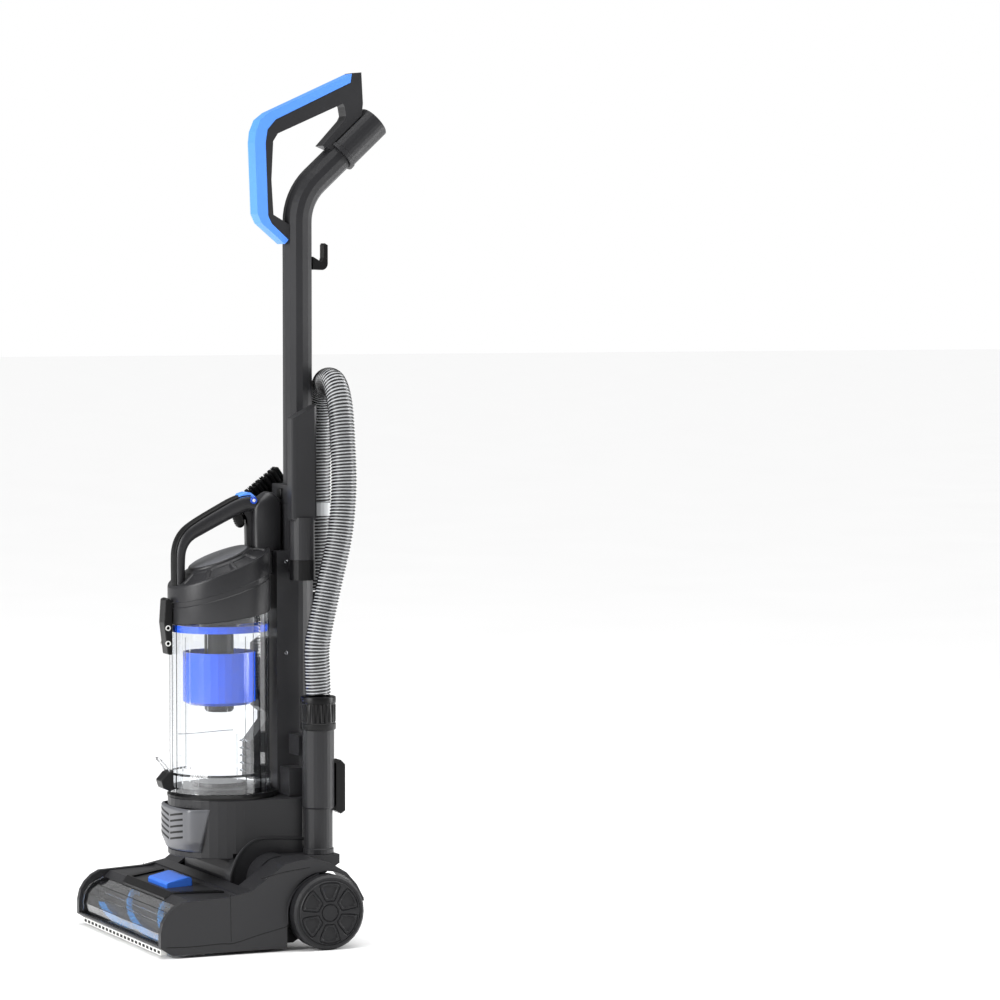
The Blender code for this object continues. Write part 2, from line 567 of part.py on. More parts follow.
def spine_fittings():
    socket = [(-0.0300, 0.0050), (0.0300, 0.0050), *arc((0, 0.0185), 0.030, 0, 180, 12)]
    cap = sheet_shape("wand_socket", socket, (SPINE_Z1 + GAP, 0.5850), "XY", colour=GREY)
    cut(cap, rod("socket_bore", (0, WAND_Y, 0), SPIGOT_R + 0.0004, (0.5, 0.7)))
    bevel(cap, 0.002, 1, 60)
    cut(cap, block("button_pocket", (-0.0070, 0.0070), (-0.001, 0.0114), (0.5660, 0.5800)))
    button = block("wand_release_button", (-0.0066, 0.0066), (0.0022, 0.0087),
                   (0.5664, 0.5796), colour=BLACK)
    bevel(button, 0.001, 1)

    holder = rod("tool_holder", (0.064, 0.0100, 0), 0.0165, (0.4640, 0.4900), steps=28,
                 colour=BLACK)
    cut(holder, rod("holder_bore", (0.064, 0.0100, 0), 0.0140, (0.4680, 0.6), steps=24))
    cut(holder, block("holder_seat", (0.04, 0.0481), (-0.01, 0.03), (0.45, 0.50)))

    switch = block("power_switch", (-0.0088, 0.0088), (0.0412, 0.0530), (0.2084, 0.2236),
                   colour=BLUE)
    bevel(switch, 0.001, 1)
    gland = rod("cord_gland", (0, 0, 0.2550), 0.0058, (0.0385, 0.0560), "Y", 0.0045,
                steps=16, colour=BLACK)
    cut(gland, rod("gland_bore", (0, 0, 0.2550), 0.0035, (0.045, 0.06), "Y", steps=12))

    clip = [*arc((-0.021, 0.0665), HOSE_R + 0.0030, -200, 60, 18),
            *arc((-0.021, 0.0665), HOSE_R + 0.0006, 60, -200, 18)]
    ring = sheet_shape("hose_clip", clip, (0.5420, 0.5590), "XY", colour=LIGHT)
    join(ring, block("clip_stem", (-0.019, -0.009), (0.0440, 0.0495), (0.5420, 0.5590)))
    cut(ring, sheet_shape("clip_clear", [*arc((0, SPINE_ROUND_Y), SPINE_HALF + GAP, 0, 180, 14),
                                         (0, 0)], (0.5, 0.6), "XY"))
    cut(ring, rod("clip_hose_way", (-0.021, 0.0665, 0), HOSE_R + 0.0006, (0.5, 0.6)))

    inlet = rod("hose_inlet", (-0.021, 0.0665, 0), 0.0180, (0.4020, 0.4400), steps=28,
                colour=BLACK)
    join(inlet, block("inlet_throat", (-0.0290, -0.0030), (0.0485, 0.0665), (0.3950, 0.4260)))
    cut(inlet, rod("inlet_bore", (-0.021, 0.0665, 0), 0.0140, (0.4080, 0.5), steps=24))
    cut(inlet, sheet_shape("inlet_spine_clear", [*arc((0, SPINE_ROUND_Y), SPINE_HALF + GAP, 0,
                                                      180, 14), (0, 0)], (0.3, 0.5), "XY"))


def suction_duct():
    turned("lower_duct", [
        (0.0170, CUFF_Z0 - GAP), (DUCT_R, CUFF_Z0 - GAP), (DUCT_R, 0.172),
        (DUCT_R - 0.0022, 0.1700), (DUCT_R - 0.0022, 0.1190), (0.0200, 0.1180),
        (0.0200, 0.1120), (0.0165, 0.1120)], (DUCT.x, DUCT.y, 0.0), steps=28, colour=CHARCOAL)
    turned("hose_cuff", [
        (0.0175, CUFF_Z1), (CUFF_R - 0.0012, CUFF_Z1), (CUFF_R, CUFF_Z1 - 0.0015),
        (CUFF_R, CUFF_Z0 + 0.0015), (CUFF_R - 0.001, CUFF_Z0), (0.0175, CUFF_Z0)],
        (DUCT.x, DUCT.y, 0.0), steps=28, colour=BLACK)
    # The elbow turns the air from the pivot's hollow trunnion up into the duct.
    elbow = rod("suction_elbow", PIVOT, 0.0330, (0.0620, 0.1080), "X", steps=32, colour=CHARCOAL)
    join(elbow, rod("trunnion_right", PIVOT, TRUNNION_R, (0.100, 0.1275), "X", steps=28))
    neck = [(-0.050, 0.062), (-0.040, 0.112), (0.0010, 0.1115), (0.0437, 0.1115),
            (0.0437, 0.1000), (0.0200, 0.0860)]
    join(elbow, sheet_shape("elbow_neck", neck, (0.0655, 0.1065)))
    cut(elbow, rod("elbow_inlet", PIVOT, 0.0125, (0.070, 0.14), "X", steps=24))
    cut(elbow, rod("elbow_outlet", DUCT, 0.0150, (0.104, 0.13), "Z", steps=24))
    hook = [(0.0436, 0.166), (0.0500, 0.162), (0.0560, 0.166), (0.0560, 0.226), (0.0500, 0.232),
            (0.0436, 0.228)]
    o = sheet_shape("lower_cord_hook", hook, (0.0760, 0.0960), colour=BLACK)
    slot = [(0.0465, 0.176), (0.0600, 0.176), (0.0600, 0.218), (0.0465, 0.218)]
    cut(o, sheet_shape("hook_slot", slot, (0.0800, 0.0920)))
    cut(o, rod("hook_clear", DUCT, DUCT_R + GAP, (0.1, 0.3)))


def tools():
    c = Vector((0.064, 0.0100, 0.0))
    body = block("crevice_tool", (c.x - 0.0110, c.x + 0.0110), (c.y - 0.0175, c.y + 0.0170),
                 (0.5400, 0.6960), colour=CHARCOAL)
    bevel(body, 0.004, 2)
    cut(body, block("slanted_tip", (0.0, 0.2), (-0.08, 0.10), (0.6815, 0.8),
                    (math.radians(27), 0, 0), (c.x, c.y, 0.6815)))
    collar = rod("tool_collar", c, 0.0160, (0.4900 + GAP, 0.5450), steps=28)
    join(body, collar)
    join(body, rod("tool_spigot", c, 0.0136, (0.4690, 0.4950), steps=24))
    cut(body, rod("tool_bore", c, 0.0105, (0.4600, 0.5440), steps=20))

    about = (-0.056, 0.005, 0.560)
    tilt = (math.radians(37), 0, 0)
    head = block("dusting_brush", (-0.0700, -0.0420), (-0.0170, 0.0470), (0.5560, 0.5670),
                 tilt, about, colour=BLACK)
    bevel(head, 0.003, 2)
    neck = rod("brush_neck", (-0.0560, 0.005, 0), 0.0100, (0.5060, 0.5600), steps=16)
    join(head, neck)
    join(head, block("brush_foot", (-0.0640, -0.0445), (-0.001, 0.011), (0.4860, 0.5100)))
    block("dusting_bristles", (-0.0680, -0.0440), (-0.0150, 0.0450),
          (0.5673, 0.5870), tilt, about, colour=BLACK, roughness=0.9)


def hose():
    route = smooth_route(HOSE_ROUTE, HOSE_POINTS)
    pipe("hose", route, HOSE_R, 2, colour=BLACK, roughness=0.5)


# ---- wand and handle ---------------------------------------------------------------------
def wand_route():
    """The wand's centreline: up, then one bend back to the collar."""
    back = math.tan(BEND_ANGLE / 2) * BEND_R
    points = [(0.0, WAND_Y, WAND_SHOULDER_Z), (0.0, WAND_Y, BEND_Z - back)]
    for i in range(1, 9):
        a = BEND_ANGLE * i / 8
        points.append((0.0, WAND_Y + BEND_R * (1 - math.cos(a)),
                       BEND_Z - back + BEND_R * math.sin(a)))
    return points


def along_collar(distance):
    """A point on the collar's axis, that far past the bend's corner."""
    return Vector((0.0, WAND_Y + distance * math.sin(BEND_ANGLE),
                   BEND_Z + distance * math.cos(BEND_ANGLE)))


def wand():
    route = wand_route()
    route.append(tuple(along_collar(0.0800 - GAP)))
    tube = add("wand_tube", pipe_mesh("wand", route, WAND_R, 5), colour=CHARCOAL)
    join(tube, rod("wand_spigot", (0, WAND_Y, 0), SPIGOT_R, (WAND_Z0, WAND_SHOULDER_Z + 0.010)))
    cut(tube, rod("spigot_bore", (0, WAND_Y, 0), SPIGOT_R - WAND_WALL,
                  (WAND_Z0 - 0.01, WAND_SHOULDER_Z + 0.02), steps=20))
    inner = [(0.0, WAND_Y, WAND_SHOULDER_Z + 0.012), *route[1:-1], tuple(along_collar(0.0900))]
    cut(tube, add("wand_inside", pipe_mesh("wand_in", inner, WAND_R - WAND_WALL, 3)))

    profile = [(COLLAR_BORE, 0.0680), (COLLAR_R - 0.001, 0.0680), (COLLAR_R, 0.0670),
               (COLLAR_R, 0.0060), (COLLAR_R + 0.0014, 0.0050), (COLLAR_R + 0.0014, 0.0),
               (COLLAR_BORE, 0.0)]
    collar = turned("wand_collar", profile, along_collar(0.0800), steps=32, colour=CHARCOAL)
    collar.rotation_euler = (-BEND_ANGLE, 0, 0)

    hook = [(0.0489, 0.8640), (0.0560, 0.8640), *arc((0.0610, 0.8720), 0.0085, -80, 0, 4),
            (0.0695, 0.8960), (0.0655, 0.8985), (0.0640, 0.8960), (0.0640, 0.8800),
            *arc((0.0600, 0.8780), 0.0035, 0, -150, 4), (0.0489, 0.8810)]
    o = sheet_shape("upper_cord_hook", hook, (-0.0070, 0.0070), colour=BLACK)
    hinge_at(o, HOOK_SWIVEL)


def handle():
    outer = [(0.0205, 0.8960), (0.0068, 0.8973), (-0.0250, 0.9240), (-0.0306, 0.9360),
             (-0.0340, 1.0276), (-0.0325, 1.0420), (-0.0262, 1.0574), (-0.0140, 1.0670),
             (0.1013, 1.1192), (0.1147, 1.1209)]
    step = [(0.0190, 0.8990), (0.0120, 0.9030), (-0.0110, 0.9235), (-0.0160, 0.9335),
            (-0.0192, 1.0278), (-0.0165, 1.0450), (-0.0052, 1.0580), (0.0971, 1.1049)]
    grip = [*outer[1:9], (0.0995, 1.1075), *reversed(step[1:-1]), (0.0100, 0.9000)]
    strip = sheet_shape("handle_grip", grip, (-0.0130, 0.0130), colour=GRIP_BLUE)
    cut(strip, rod("grip_wand_clear", (0, WAND_Y, 0), WAND_R + GAP, (0.8, 0.95)))

    band = [(0.0290, 0.8975), (0.0130, 0.9030), (-0.0106, 0.9238), (-0.0156, 0.9336),
            (-0.0188, 1.0277), (-0.0162, 1.0446), (-0.0050, 1.0576), (0.0999, 1.1071),
            (0.1018, 1.1200), (0.1150, 1.1212), (0.1172, 1.0806), (0.1148, 1.0600),
            (0.1020, 1.0480), (0.0770, 1.0180), (0.0600, 1.0250), (0.0905, 1.0580),
            (0.0935, 1.0640), (0.0914, 1.0760), (0.0890, 1.0800), (0.0140, 1.0470),
            (-0.0020, 1.0400), (-0.0085, 1.0300), (-0.0111, 0.9801), (-0.0084, 0.9350),
            (0.0110, 0.9240), (0.0290, 0.9140)]
    loop = sheet_shape("handle_loop", band, (-0.0125, 0.0125), colour=CHARCOAL)
    cut(loop, add("wand_clearance", pipe_mesh("clear", [*wand_route(),
                                                        tuple(along_collar(0.09))],
                                              WAND_R + 0.0005, 5)))
    round_way = rod("collar_clearance", (0, 0, 0), COLLAR_R + 0.0018, (0.0, 0.09), steps=32)
    round_way.location = along_collar(0.0795)
    round_way.rotation_euler = (-BEND_ANGLE, 0, 0)
    cut(loop, round_way)


# ---- dust cup ----------------------------------------------------------------------------
def tilted_plane(name, z, above):
    """A slab cutter bounded by the lid's tilted joint plane."""
    span = (z, z + 0.3) if above else (z - 0.3, z)
    return block(name, (-0.3, 0.3), (CUP_Y - 0.3, CUP_Y + 0.3), span, (LID_TILT, 0, 0),
                 (0, CUP_Y, z))


def lid_dome(name, clear):
    """The lid's top, leaning forward like its joint: a rim cone and a raised round plate."""
    profile = [(0.0, 0.5030), (0.0300, 0.5030), (0.0312, 0.4990), (0.0550, 0.4800),
               (0.0680, 0.4630), (0.0900, 0.4600), (0.0900, 0.3500), (0.0, 0.3500)]
    dome = turned(name, [(r, z + clear) for r, z in profile], (0, 0, 0), steps=40)
    dome.location = (0, CUP_Y, LID_PIVOT_Z)
    dome.data.transform(Matrix.Translation((0, 0, -LID_PIVOT_Z)))
    dome.rotation_euler = (LID_TILT, 0, 0)
    return dome


def dust_cup():
    centre = (0, CUP_Y, 0)
    cup = turned("dust_cup", [
        (CUP_R - CUP_WALL, 0.4300), (CUP_R, 0.4300), (CUP_R, 0.2150), (CUP_R + 0.0015, 0.2120),
        (CUP_R + 0.0015, CUP_Z0), (CUP_R - CUP_WALL, CUP_Z0)], centre, steps=32, colour=CLEAR,
        roughness=0.05)
    cut(cup, tilted_plane("cup_top", LID_JOINT_Z, True))

    lid = rod("cup_lid", centre, LID_R, (0.3900, 0.5300), steps=40, colour=CHARCOAL)
    keep(lid, lid_dome("lid_top", 0.0))
    cut(lid, tilted_plane("lid_bottom", LID_JOINT_Z + GAP, False))
    cut(lid, rod("lid_hollow", centre, 0.0605, (0.3, 0.4520)))

    turned("seal_ring", [(0.0560, 0.4060), (0.0620, 0.4060), (0.0620, 0.3970),
                         (0.0560, 0.3970)], centre, steps=32, colour=BLUE)
    stem = turned("cyclone_stem", [(0.0, 0.4515), (0.0590, 0.4515), (0.0540, 0.4300),
                                   (0.0540, 0.4090), (0.0300, 0.4085), (0.0188, 0.3960),
                                   (0.0188, 0.2950), (0.0165, 0.2920), (0.0, 0.2920)],
                  centre, steps=28, colour=BLACK)
    cut(stem, rod("stem_bore", centre, 0.0150, (0.28, 0.4480), steps=20))
    turned("cyclone_cup", [(0.0440, 0.3700), (0.0464, 0.3700), (0.0464, 0.3060),
                           (0.0400, 0.3020), (0.0191, 0.3015), (0.0191, 0.3055),
                           (0.0390, 0.3060), (0.0440, 0.3100)], centre, steps=32,
           colour=BLUE)
    port = [(-0.0200, 0.2030), (-0.0447, 0.2030), (-0.0440, 0.2520), (-0.0235, 0.2785),
            (-0.0235, 0.2890), (-0.0330, 0.2970), (-0.0330, 0.3785), (-0.0225, 0.3860),
            (-0.0200, 0.3860)]
    port = sheet_shape("cup_inlet_ramp", port, (-0.0150, 0.0150), colour=GREY)
    keep(port, rod("port_wall_clear", centre, CUP_R - CUP_WALL - GAP, (0.1, 0.5), steps=64))

    door = turned("bottom_door", [(0.0, 0.2010), (0.0330, 0.2010), (0.0350, 0.1960),
                                  (0.0615, 0.1960), (0.0615, CUP_Z0 - 0.0004),
                                  (0.0, CUP_Z0 - 0.0004)], centre, steps=28, colour=BLACK)
    lug = block("door_lug", (-0.0100, 0.0100), (CUP_Y + 0.055, CUP_Y + 0.0664),
                (0.1900, 0.1932))
    cut(cup, block("lug_way", (-0.0105, 0.0105), (CUP_Y + 0.05, CUP_Y + 0.08),
                   (0.18, 0.1936)))
    join(door, lug)

    latch = [(-0.1468, 0.1935), (-0.1530, 0.1920), (-0.1620, 0.1960), (-0.1650, 0.2060),
             (-0.1560, 0.2160), (-0.1480, 0.2190), (-0.1480, 0.2000)]
    o = sheet_shape("door_latch", latch, (-0.0110, 0.0110), colour=CHARCOAL)
    bevel(o, 0.001, 1)
    cut(o, rod("latch_cup_clear", centre, CUP_R + 0.0018, (0.1, 0.3), steps=40))
    hinge_at(o, LATCH_HINGE)

    strap = [(-0.1490, 0.3680), (-0.1550, 0.3690), (-0.1600, 0.4100), (-0.1580, 0.4400),
             (-0.1530, 0.4420), (-0.1490, 0.4360)]
    s = sheet_shape("front_strap", strap, (-0.0100, 0.0100), colour=BLACK)
    bevel(s, 0.001, 1)
    cut(s, rod("strap_clear", centre, LID_R + GAP, (0.3, 0.5), steps=40))
    hinge_at(s, STRAP_HINGE)


def carry_handle():
    bar = [(-0.1450, 0.4660), (-0.1470, 0.4900), (-0.1440, 0.5130), (-0.1360, 0.5260),
           (-0.0620, 0.5800), (-0.0500, 0.5830), (-0.0330, 0.5780), (-0.0270, 0.5680),
           (-0.0225, 0.5100), (-0.0200, 0.4700), (-0.0460, 0.4700), (-0.0450, 0.5200),
           (-0.0480, 0.5330), (-0.0580, 0.5400), (-0.0700, 0.5360), (-0.1240, 0.5080),
           (-0.1300, 0.4990), (-0.1310, 0.4880), (-0.1290, 0.4660)]
    o = sheet_shape("carry_handle", bar, (-0.0150, 0.0150), colour=CHARCOAL)
    bevel(o, 0.003, 2, 60)
    dome = rod("handle_rim_clear", (0, CUP_Y, 0), LID_R + GAP, (0.40, 0.60), steps=40)
    keep(dome, lid_dome("handle_dome_clear", GAP * 1.5))
    cut(o, dome)
    cut(o, block("release_pocket", (-0.0085, 0.0085), (-0.0525, -0.0345), (0.5720, 0.6)))
    button = block("cup_release_button", (-0.0081, 0.0081), (-0.0521, -0.0349),
                   (0.5750, 0.5870), colour=GRIP_BLUE)
    bevel(button, 0.001, 1)
    cut(o, rod("pin_hole", (0, -0.0330, 0.5560), 0.0034, (-0.02, 0.02), "X", steps=16))
    rod("handle_pin", (0, -0.0330, 0.5560), 0.0030, (-0.0160, 0.0160), "X", steps=16,
        colour=GRIP_BLUE)


roller_pockets(floor_head())
brush_roll()
wheels()
pedal()
drive()
motor_housing()
spine()
spine_fittings()
suction_duct()
tools()
hose()
wand()
handle()
dust_cup()
carry_handle()
hang("door_pivot", DOOR_HINGE, "bottom_door")
hang("recline_pivot", PIVOT, UPRIGHT_PARTS)
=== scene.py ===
# %% [markdown]
# A lightweight upright vacuum cleaner, standing locked upright on a pale studio floor.
# The fixed frame (every sub-part's size, place and joint) is loaded first. Each later
# step then adds one finish or one piece: moulded plastics, the clear cup, the stretch
# hose, bristles, screws and the small trims that a real machine shows.

# %% Load the fixed frame
import math

import bpy
import numpy as np
from mathutils import Matrix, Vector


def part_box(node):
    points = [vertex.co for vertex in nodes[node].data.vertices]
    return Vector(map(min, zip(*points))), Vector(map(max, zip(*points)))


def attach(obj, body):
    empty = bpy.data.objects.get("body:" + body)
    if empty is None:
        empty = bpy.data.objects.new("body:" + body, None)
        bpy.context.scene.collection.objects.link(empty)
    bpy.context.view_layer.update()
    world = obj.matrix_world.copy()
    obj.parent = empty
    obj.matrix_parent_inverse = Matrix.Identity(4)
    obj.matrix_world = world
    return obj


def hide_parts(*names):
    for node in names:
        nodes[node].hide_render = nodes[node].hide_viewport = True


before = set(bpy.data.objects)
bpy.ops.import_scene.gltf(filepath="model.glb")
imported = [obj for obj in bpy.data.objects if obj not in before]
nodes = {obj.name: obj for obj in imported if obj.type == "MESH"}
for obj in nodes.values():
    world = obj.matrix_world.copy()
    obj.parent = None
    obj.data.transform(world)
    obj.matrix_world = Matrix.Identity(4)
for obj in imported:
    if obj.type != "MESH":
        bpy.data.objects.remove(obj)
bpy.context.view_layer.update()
AXLE_Y = sum(corner[1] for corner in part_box("wheel_left")) / 2
print(len(nodes), "frame nodes, axle at y", round(AXLE_Y, 4))

# %% [markdown]
# Heights and depths in the drawings of this machine are measured from the rear wheels'
# axle, so one helper moves a drawing point back to its place in the frame.

# %% Places and colours
def at(x, y, z):
    """A point of the drawing in the frame: y moved back by the axle's place."""
    return np.array((x, y + AXLE_Y, z), float)


SHIFT = at(0, 0, 0)


def hex_colour(text):
    """An sRGB hex colour as linear RGBA, each channel through the sRGB curve."""
    c = np.array([int(text[i:i + 2], 16) for i in (1, 3, 5)]) / 255
    c = np.where(c <= 0.04045, c / 12.92, ((c + 0.055) / 1.055) ** 2.4)
    return (*c.tolist(), 1.0)


# %% [markdown]
# The camera stands about five metres away at handle height, as for a catalogue shot,
# and looks three degrees down. A long lens keeps the wand's sides nearly parallel.

# %% Camera
CAMERA_PLACE = at(5.013, -1.963, 0.848)
CAMERA_AZIMUTH = math.radians(65.52)    # round from the machine's front
CAMERA_RISE = math.radians(3.02)        # looking down by this much
SENSOR = 36.0                           # mm across
FOCAL = SENSOR * 4.1315                 # mm

back = np.array((math.sin(CAMERA_AZIMUTH) * math.cos(CAMERA_RISE),
                 -math.cos(CAMERA_AZIMUTH) * math.cos(CAMERA_RISE), math.sin(CAMERA_RISE)))
right = np.array((math.cos(CAMERA_AZIMUTH), math.sin(CAMERA_AZIMUTH), 0.0))
up = np.cross(back, right)

lens = bpy.data.cameras.new("camera")
lens.lens, lens.sensor_width = FOCAL, SENSOR
camera = bpy.data.objects.new("camera", lens)
pose = np.eye(4)
pose[:3, 0], pose[:3, 1], pose[:3, 2], pose[:3, 3] = right, up, back, CAMERA_PLACE
camera.matrix_world = Matrix(pose.tolist())
bpy.context.scene.collection.objects.link(camera)
bpy.context.scene.camera = camera
print("lens", round(FOCAL, 1), "mm")


# %% [markdown]
# Every finish is a small node tree. One function adds a node, sets its values and makes
# its links, so a material reads as a list of what it is made of.

# %% Node helper
def add(tree, kind, inputs=(), **settings):
    """Adds a node. settings are its properties; inputs is a dictionary of socket values,
    where an output socket becomes a link."""
    node = tree.nodes.new(kind)
    for name, value in settings.items():
        setattr(node, name, value)
    for name, value in dict(inputs).items():
        if isinstance(value, bpy.types.NodeSocket):
            tree.links.new(value, node.inputs[name])
        else:
            node.inputs[name].default_value = value
    return node


def blank(name):
    """A new material's empty tree and its output node."""
    material = bpy.data.materials.new(name)
    material.use_nodes = True
    material.node_tree.nodes.clear()
    return material, material.node_tree, add(material.node_tree, "ShaderNodeOutputMaterial")


# %% [markdown]
# The housing is injection-moulded ABS. Its tool is spark-eroded, which leaves an even,
# very fine grain that spreads each highlight into a soft band. The grain of a real tool
# is near 0.1 mm; it is drawn at 0.5 mm so that it shows. Handling leaves the roughness
# slightly uneven over a hand's width, and the colour hardly varies.

# %% Moulded plastics
HAND_WIDE = 14.0      # noise cells in a metre: one is about a hand's width


def moulded(name, colour, roughness, grain_mm=0.5, relief=0.12, drift=0.10, gloss=0.5,
            ior=1.54):
    """An injection-moulded plastic: noise grain as bump, broad noise in roughness and
    colour. drift is how far the colour and roughness wander, as a share. gloss is the
    specular level; grained charcoal and black tools scatter most of it."""
    material, tree, out = blank(name)
    place = add(tree, "ShaderNodeTexCoord").outputs["Object"]
    broad = add(tree, "ShaderNodeTexNoise", {"Vector": place, "Scale": HAND_WIDE, "Detail": 3.0})
    fine = add(tree, "ShaderNodeTexNoise",
               {"Vector": place, "Scale": 1000 / grain_mm, "Detail": 2.0, "Roughness": 0.6})
    base = hex_colour(colour)
    dark = tuple(c * (1 - drift) for c in base[:3]) + (1.0,)
    light = tuple(min(1.0, c * (1 + drift)) for c in base[:3]) + (1.0,)
    tone = add(tree, "ShaderNodeMix", data_type="RGBA")
    for socket, value in (("A_Color", dark), ("B_Color", light)):
        next(i for i in tone.inputs if i.identifier == socket).default_value = value
    tree.links.new(broad.outputs["Fac"], tone.inputs["Factor"])
    sheen = add(tree, "ShaderNodeMapRange",
                {"Value": broad.outputs["Fac"], "From Min": 0.3, "From Max": 0.7,
                 "To Min": roughness * (1 - drift), "To Max": roughness * (1 + drift)})
    bump = add(tree, "ShaderNodeBump", {"Height": fine.outputs["Fac"], "Strength": relief,
                                        "Distance": grain_mm / 1000})
    shader = add(tree, "ShaderNodeBsdfPrincipled",
                 {"Base Color": next(o for o in tone.outputs if o.type == "RGBA"),
                  "Roughness": sheen.outputs["Result"], "Normal": bump.outputs["Normal"],
                  "IOR": ior, "Specular IOR Level": gloss})
    tree.links.new(shader.outputs["BSDF"], out.inputs["Surface"])
    return material


abs_charcoal = moulded("abs_charcoal_spark_eroded", "#262628", 0.36, gloss=0.30)
pp_black = moulded("polypropylene_black_moulded", "#0a0a0b", 0.34, gloss=0.22)
pp_wheel = moulded("polypropylene_wheel_moulded", "#1c1c1e", 0.46, grain_mm=0.8, relief=0.2,
                   gloss=0.25)
# A lighter satin grey for the exhaust panel. It is also laid on the lid's centre plate, where it is a
# painted reflection.
grey_panel_and_lid_reflection = moulded("abs_grey_satin_panel_and_lid_reflection", "#5a5b5f", 0.30, relief=0.06)
abs_blue = moulded("abs_royal_blue_polished", "#1049c4", 0.22, relief=0.03, drift=0.05)
abs_pedal = moulded("abs_blue_pedal_polished", "#3a76e6", 0.22, relief=0.03, drift=0.05)
grip_blue = moulded("elastomer_light_blue_soft_touch", "#4f8ff2", 0.46, relief=0.10, drift=0.04)
pp_light = moulded("polypropylene_light_grey", "#b9bbbd", 0.42)
pp_white = moulded("polypropylene_white_guard", "#e9e9e6", 0.35, drift=0.03)
# Black rubber for the real rubber parts. The same black is also laid in the exhaust slots and strap
# holes as painted shade.
black_rubber_and_hole_shade = moulded("rubber_black_moulded_and_painted_hole_shade", "#080808", 0.50, grain_mm=0.7, relief=0.2, gloss=0.2,
                 ior=1.52)
nylon_black = moulded("nylon_bristle_black", "#101011", 0.34, relief=0.02, ior=1.53)
nylon_blue = moulded("nylon_bristle_blue", "#2ba2ea", 0.34, relief=0.02, ior=1.53)
print("moulded plastics", len(bpy.data.materials))

# %% [markdown]
# The cup is blow-clear polycarbonate, 2.5 mm thick. It is drawn as true glass-like
# plastic with its real wall, so its edges darken as the real ones do. Light for the
# parts inside passes straight through, in place of the caustics that would take hours.

# %% Clear plastics
def clear(name, colour, roughness=0.02, ior=1.58, shade="#ffffff"):
    """Clear moulded plastic: refraction to the eye, plain transparency to the lamps."""
    material, tree, out = blank(name)
    place = add(tree, "ShaderNodeTexCoord").outputs["Object"]
    wave = add(tree, "ShaderNodeTexNoise", {"Vector": place, "Scale": 22.0, "Detail": 1.0})
    bump = add(tree, "ShaderNodeBump", {"Height": wave.outputs["Fac"], "Strength": 0.05,
                                        "Distance": 0.002})
    shader = add(tree, "ShaderNodeBsdfPrincipled",
                 {"Base Color": hex_colour(colour), "Roughness": roughness, "IOR": ior,
                  "Transmission Weight": 1.0, "Normal": bump.outputs["Normal"]})
    lamp_side = add(tree, "ShaderNodeBsdfTransparent", {"Color": hex_colour(shade)})
    path = add(tree, "ShaderNodeLightPath")
    mix = add(tree, "ShaderNodeMixShader", {0: path.outputs["Is Shadow Ray"],
                                            1: shader.outputs["BSDF"],
                                            2: lamp_side.outputs["BSDF"]})
    tree.links.new(mix.outputs["Shader"], out.inputs["Surface"])
    return material


pc_clear = clear("polycarbonate_clear_cup", "#fbfdff")
pc_smoke = clear("polycarbonate_smoked_window", "#dcdddf", shade="#e2e3e5")
pc_grey = clear("polycarbonate_grey_frosted", "#8d9094", roughness=0.25, shade="#8d9094")
print("clear plastics", pc_clear.name, pc_smoke.name, pc_grey.name)

# %% [markdown]
# Axles, pins and screws are steel turned from bar. The lathe leaves fine rings, which
# stretch the highlight. The motor's can is pressed aluminium, and the filters are open
# foam and pleated paper, rough all through.

# %% Metals and filters
WAVE_RATE = 20.0      # radians that a wave texture turns in one unit, at scale 1


def metal(name, colour, roughness, ring_mm):
    """Bare metal with fine turning marks: bands across the part's length as bump, one
    band for each ring_mm, drawn coarser than real ones so that they show."""
    material, tree, out = blank(name)
    place = add(tree, "ShaderNodeTexCoord").outputs["Object"]
    marks = add(tree, "ShaderNodeTexWave",
                {"Vector": place, "Scale": 2 * math.pi * 1000 / (WAVE_RATE * ring_mm),
                 "Distortion": 1.5, "Detail": 2.0}, wave_type="BANDS", bands_direction="X")
    bump = add(tree, "ShaderNodeBump", {"Height": marks.outputs["Fac"], "Strength": 0.15,
                                        "Distance": 0.0002})
    wear = add(tree, "ShaderNodeTexNoise", {"Vector": place, "Scale": 90.0, "Detail": 4.0})
    rough = add(tree, "ShaderNodeMapRange", {"Value": wear.outputs["Fac"],
                                             "To Min": roughness * 0.7, "To Max": roughness * 1.3})
    shader = add(tree, "ShaderNodeBsdfPrincipled",
                 {"Base Color": hex_colour(colour), "Metallic": 1.0,
                  "Roughness": rough.outputs["Result"], "Normal": bump.outputs["Normal"]})
    tree.links.new(shader.outputs["BSDF"], out.inputs["Surface"])
    return material


steel = metal("steel_turned", "#b8b9bb", 0.28, 0.789)
screw_steel = metal("steel_black_oxide_screw", "#6a6b6e", 0.35, 0.789)
aluminium = metal("aluminium_pressed_can", "#c9cacc", 0.38, 1.578)
foam = moulded("polyurethane_open_foam", "#3c63b8", 0.9, grain_mm=1.4, relief=0.9)
paper = moulded("filter_paper_pleated", "#d8d6cc", 0.9, grain_mm=1.0, relief=0.6)
print("metals and filters", steel.name, screw_steel.name, aluminium.name, foam.name, paper.name)

# %% [markdown]
# Each frame node keeps its shape and takes the finish of the real sub-part. A dictionary
# from finish to node names shows at a glance what is made of what.

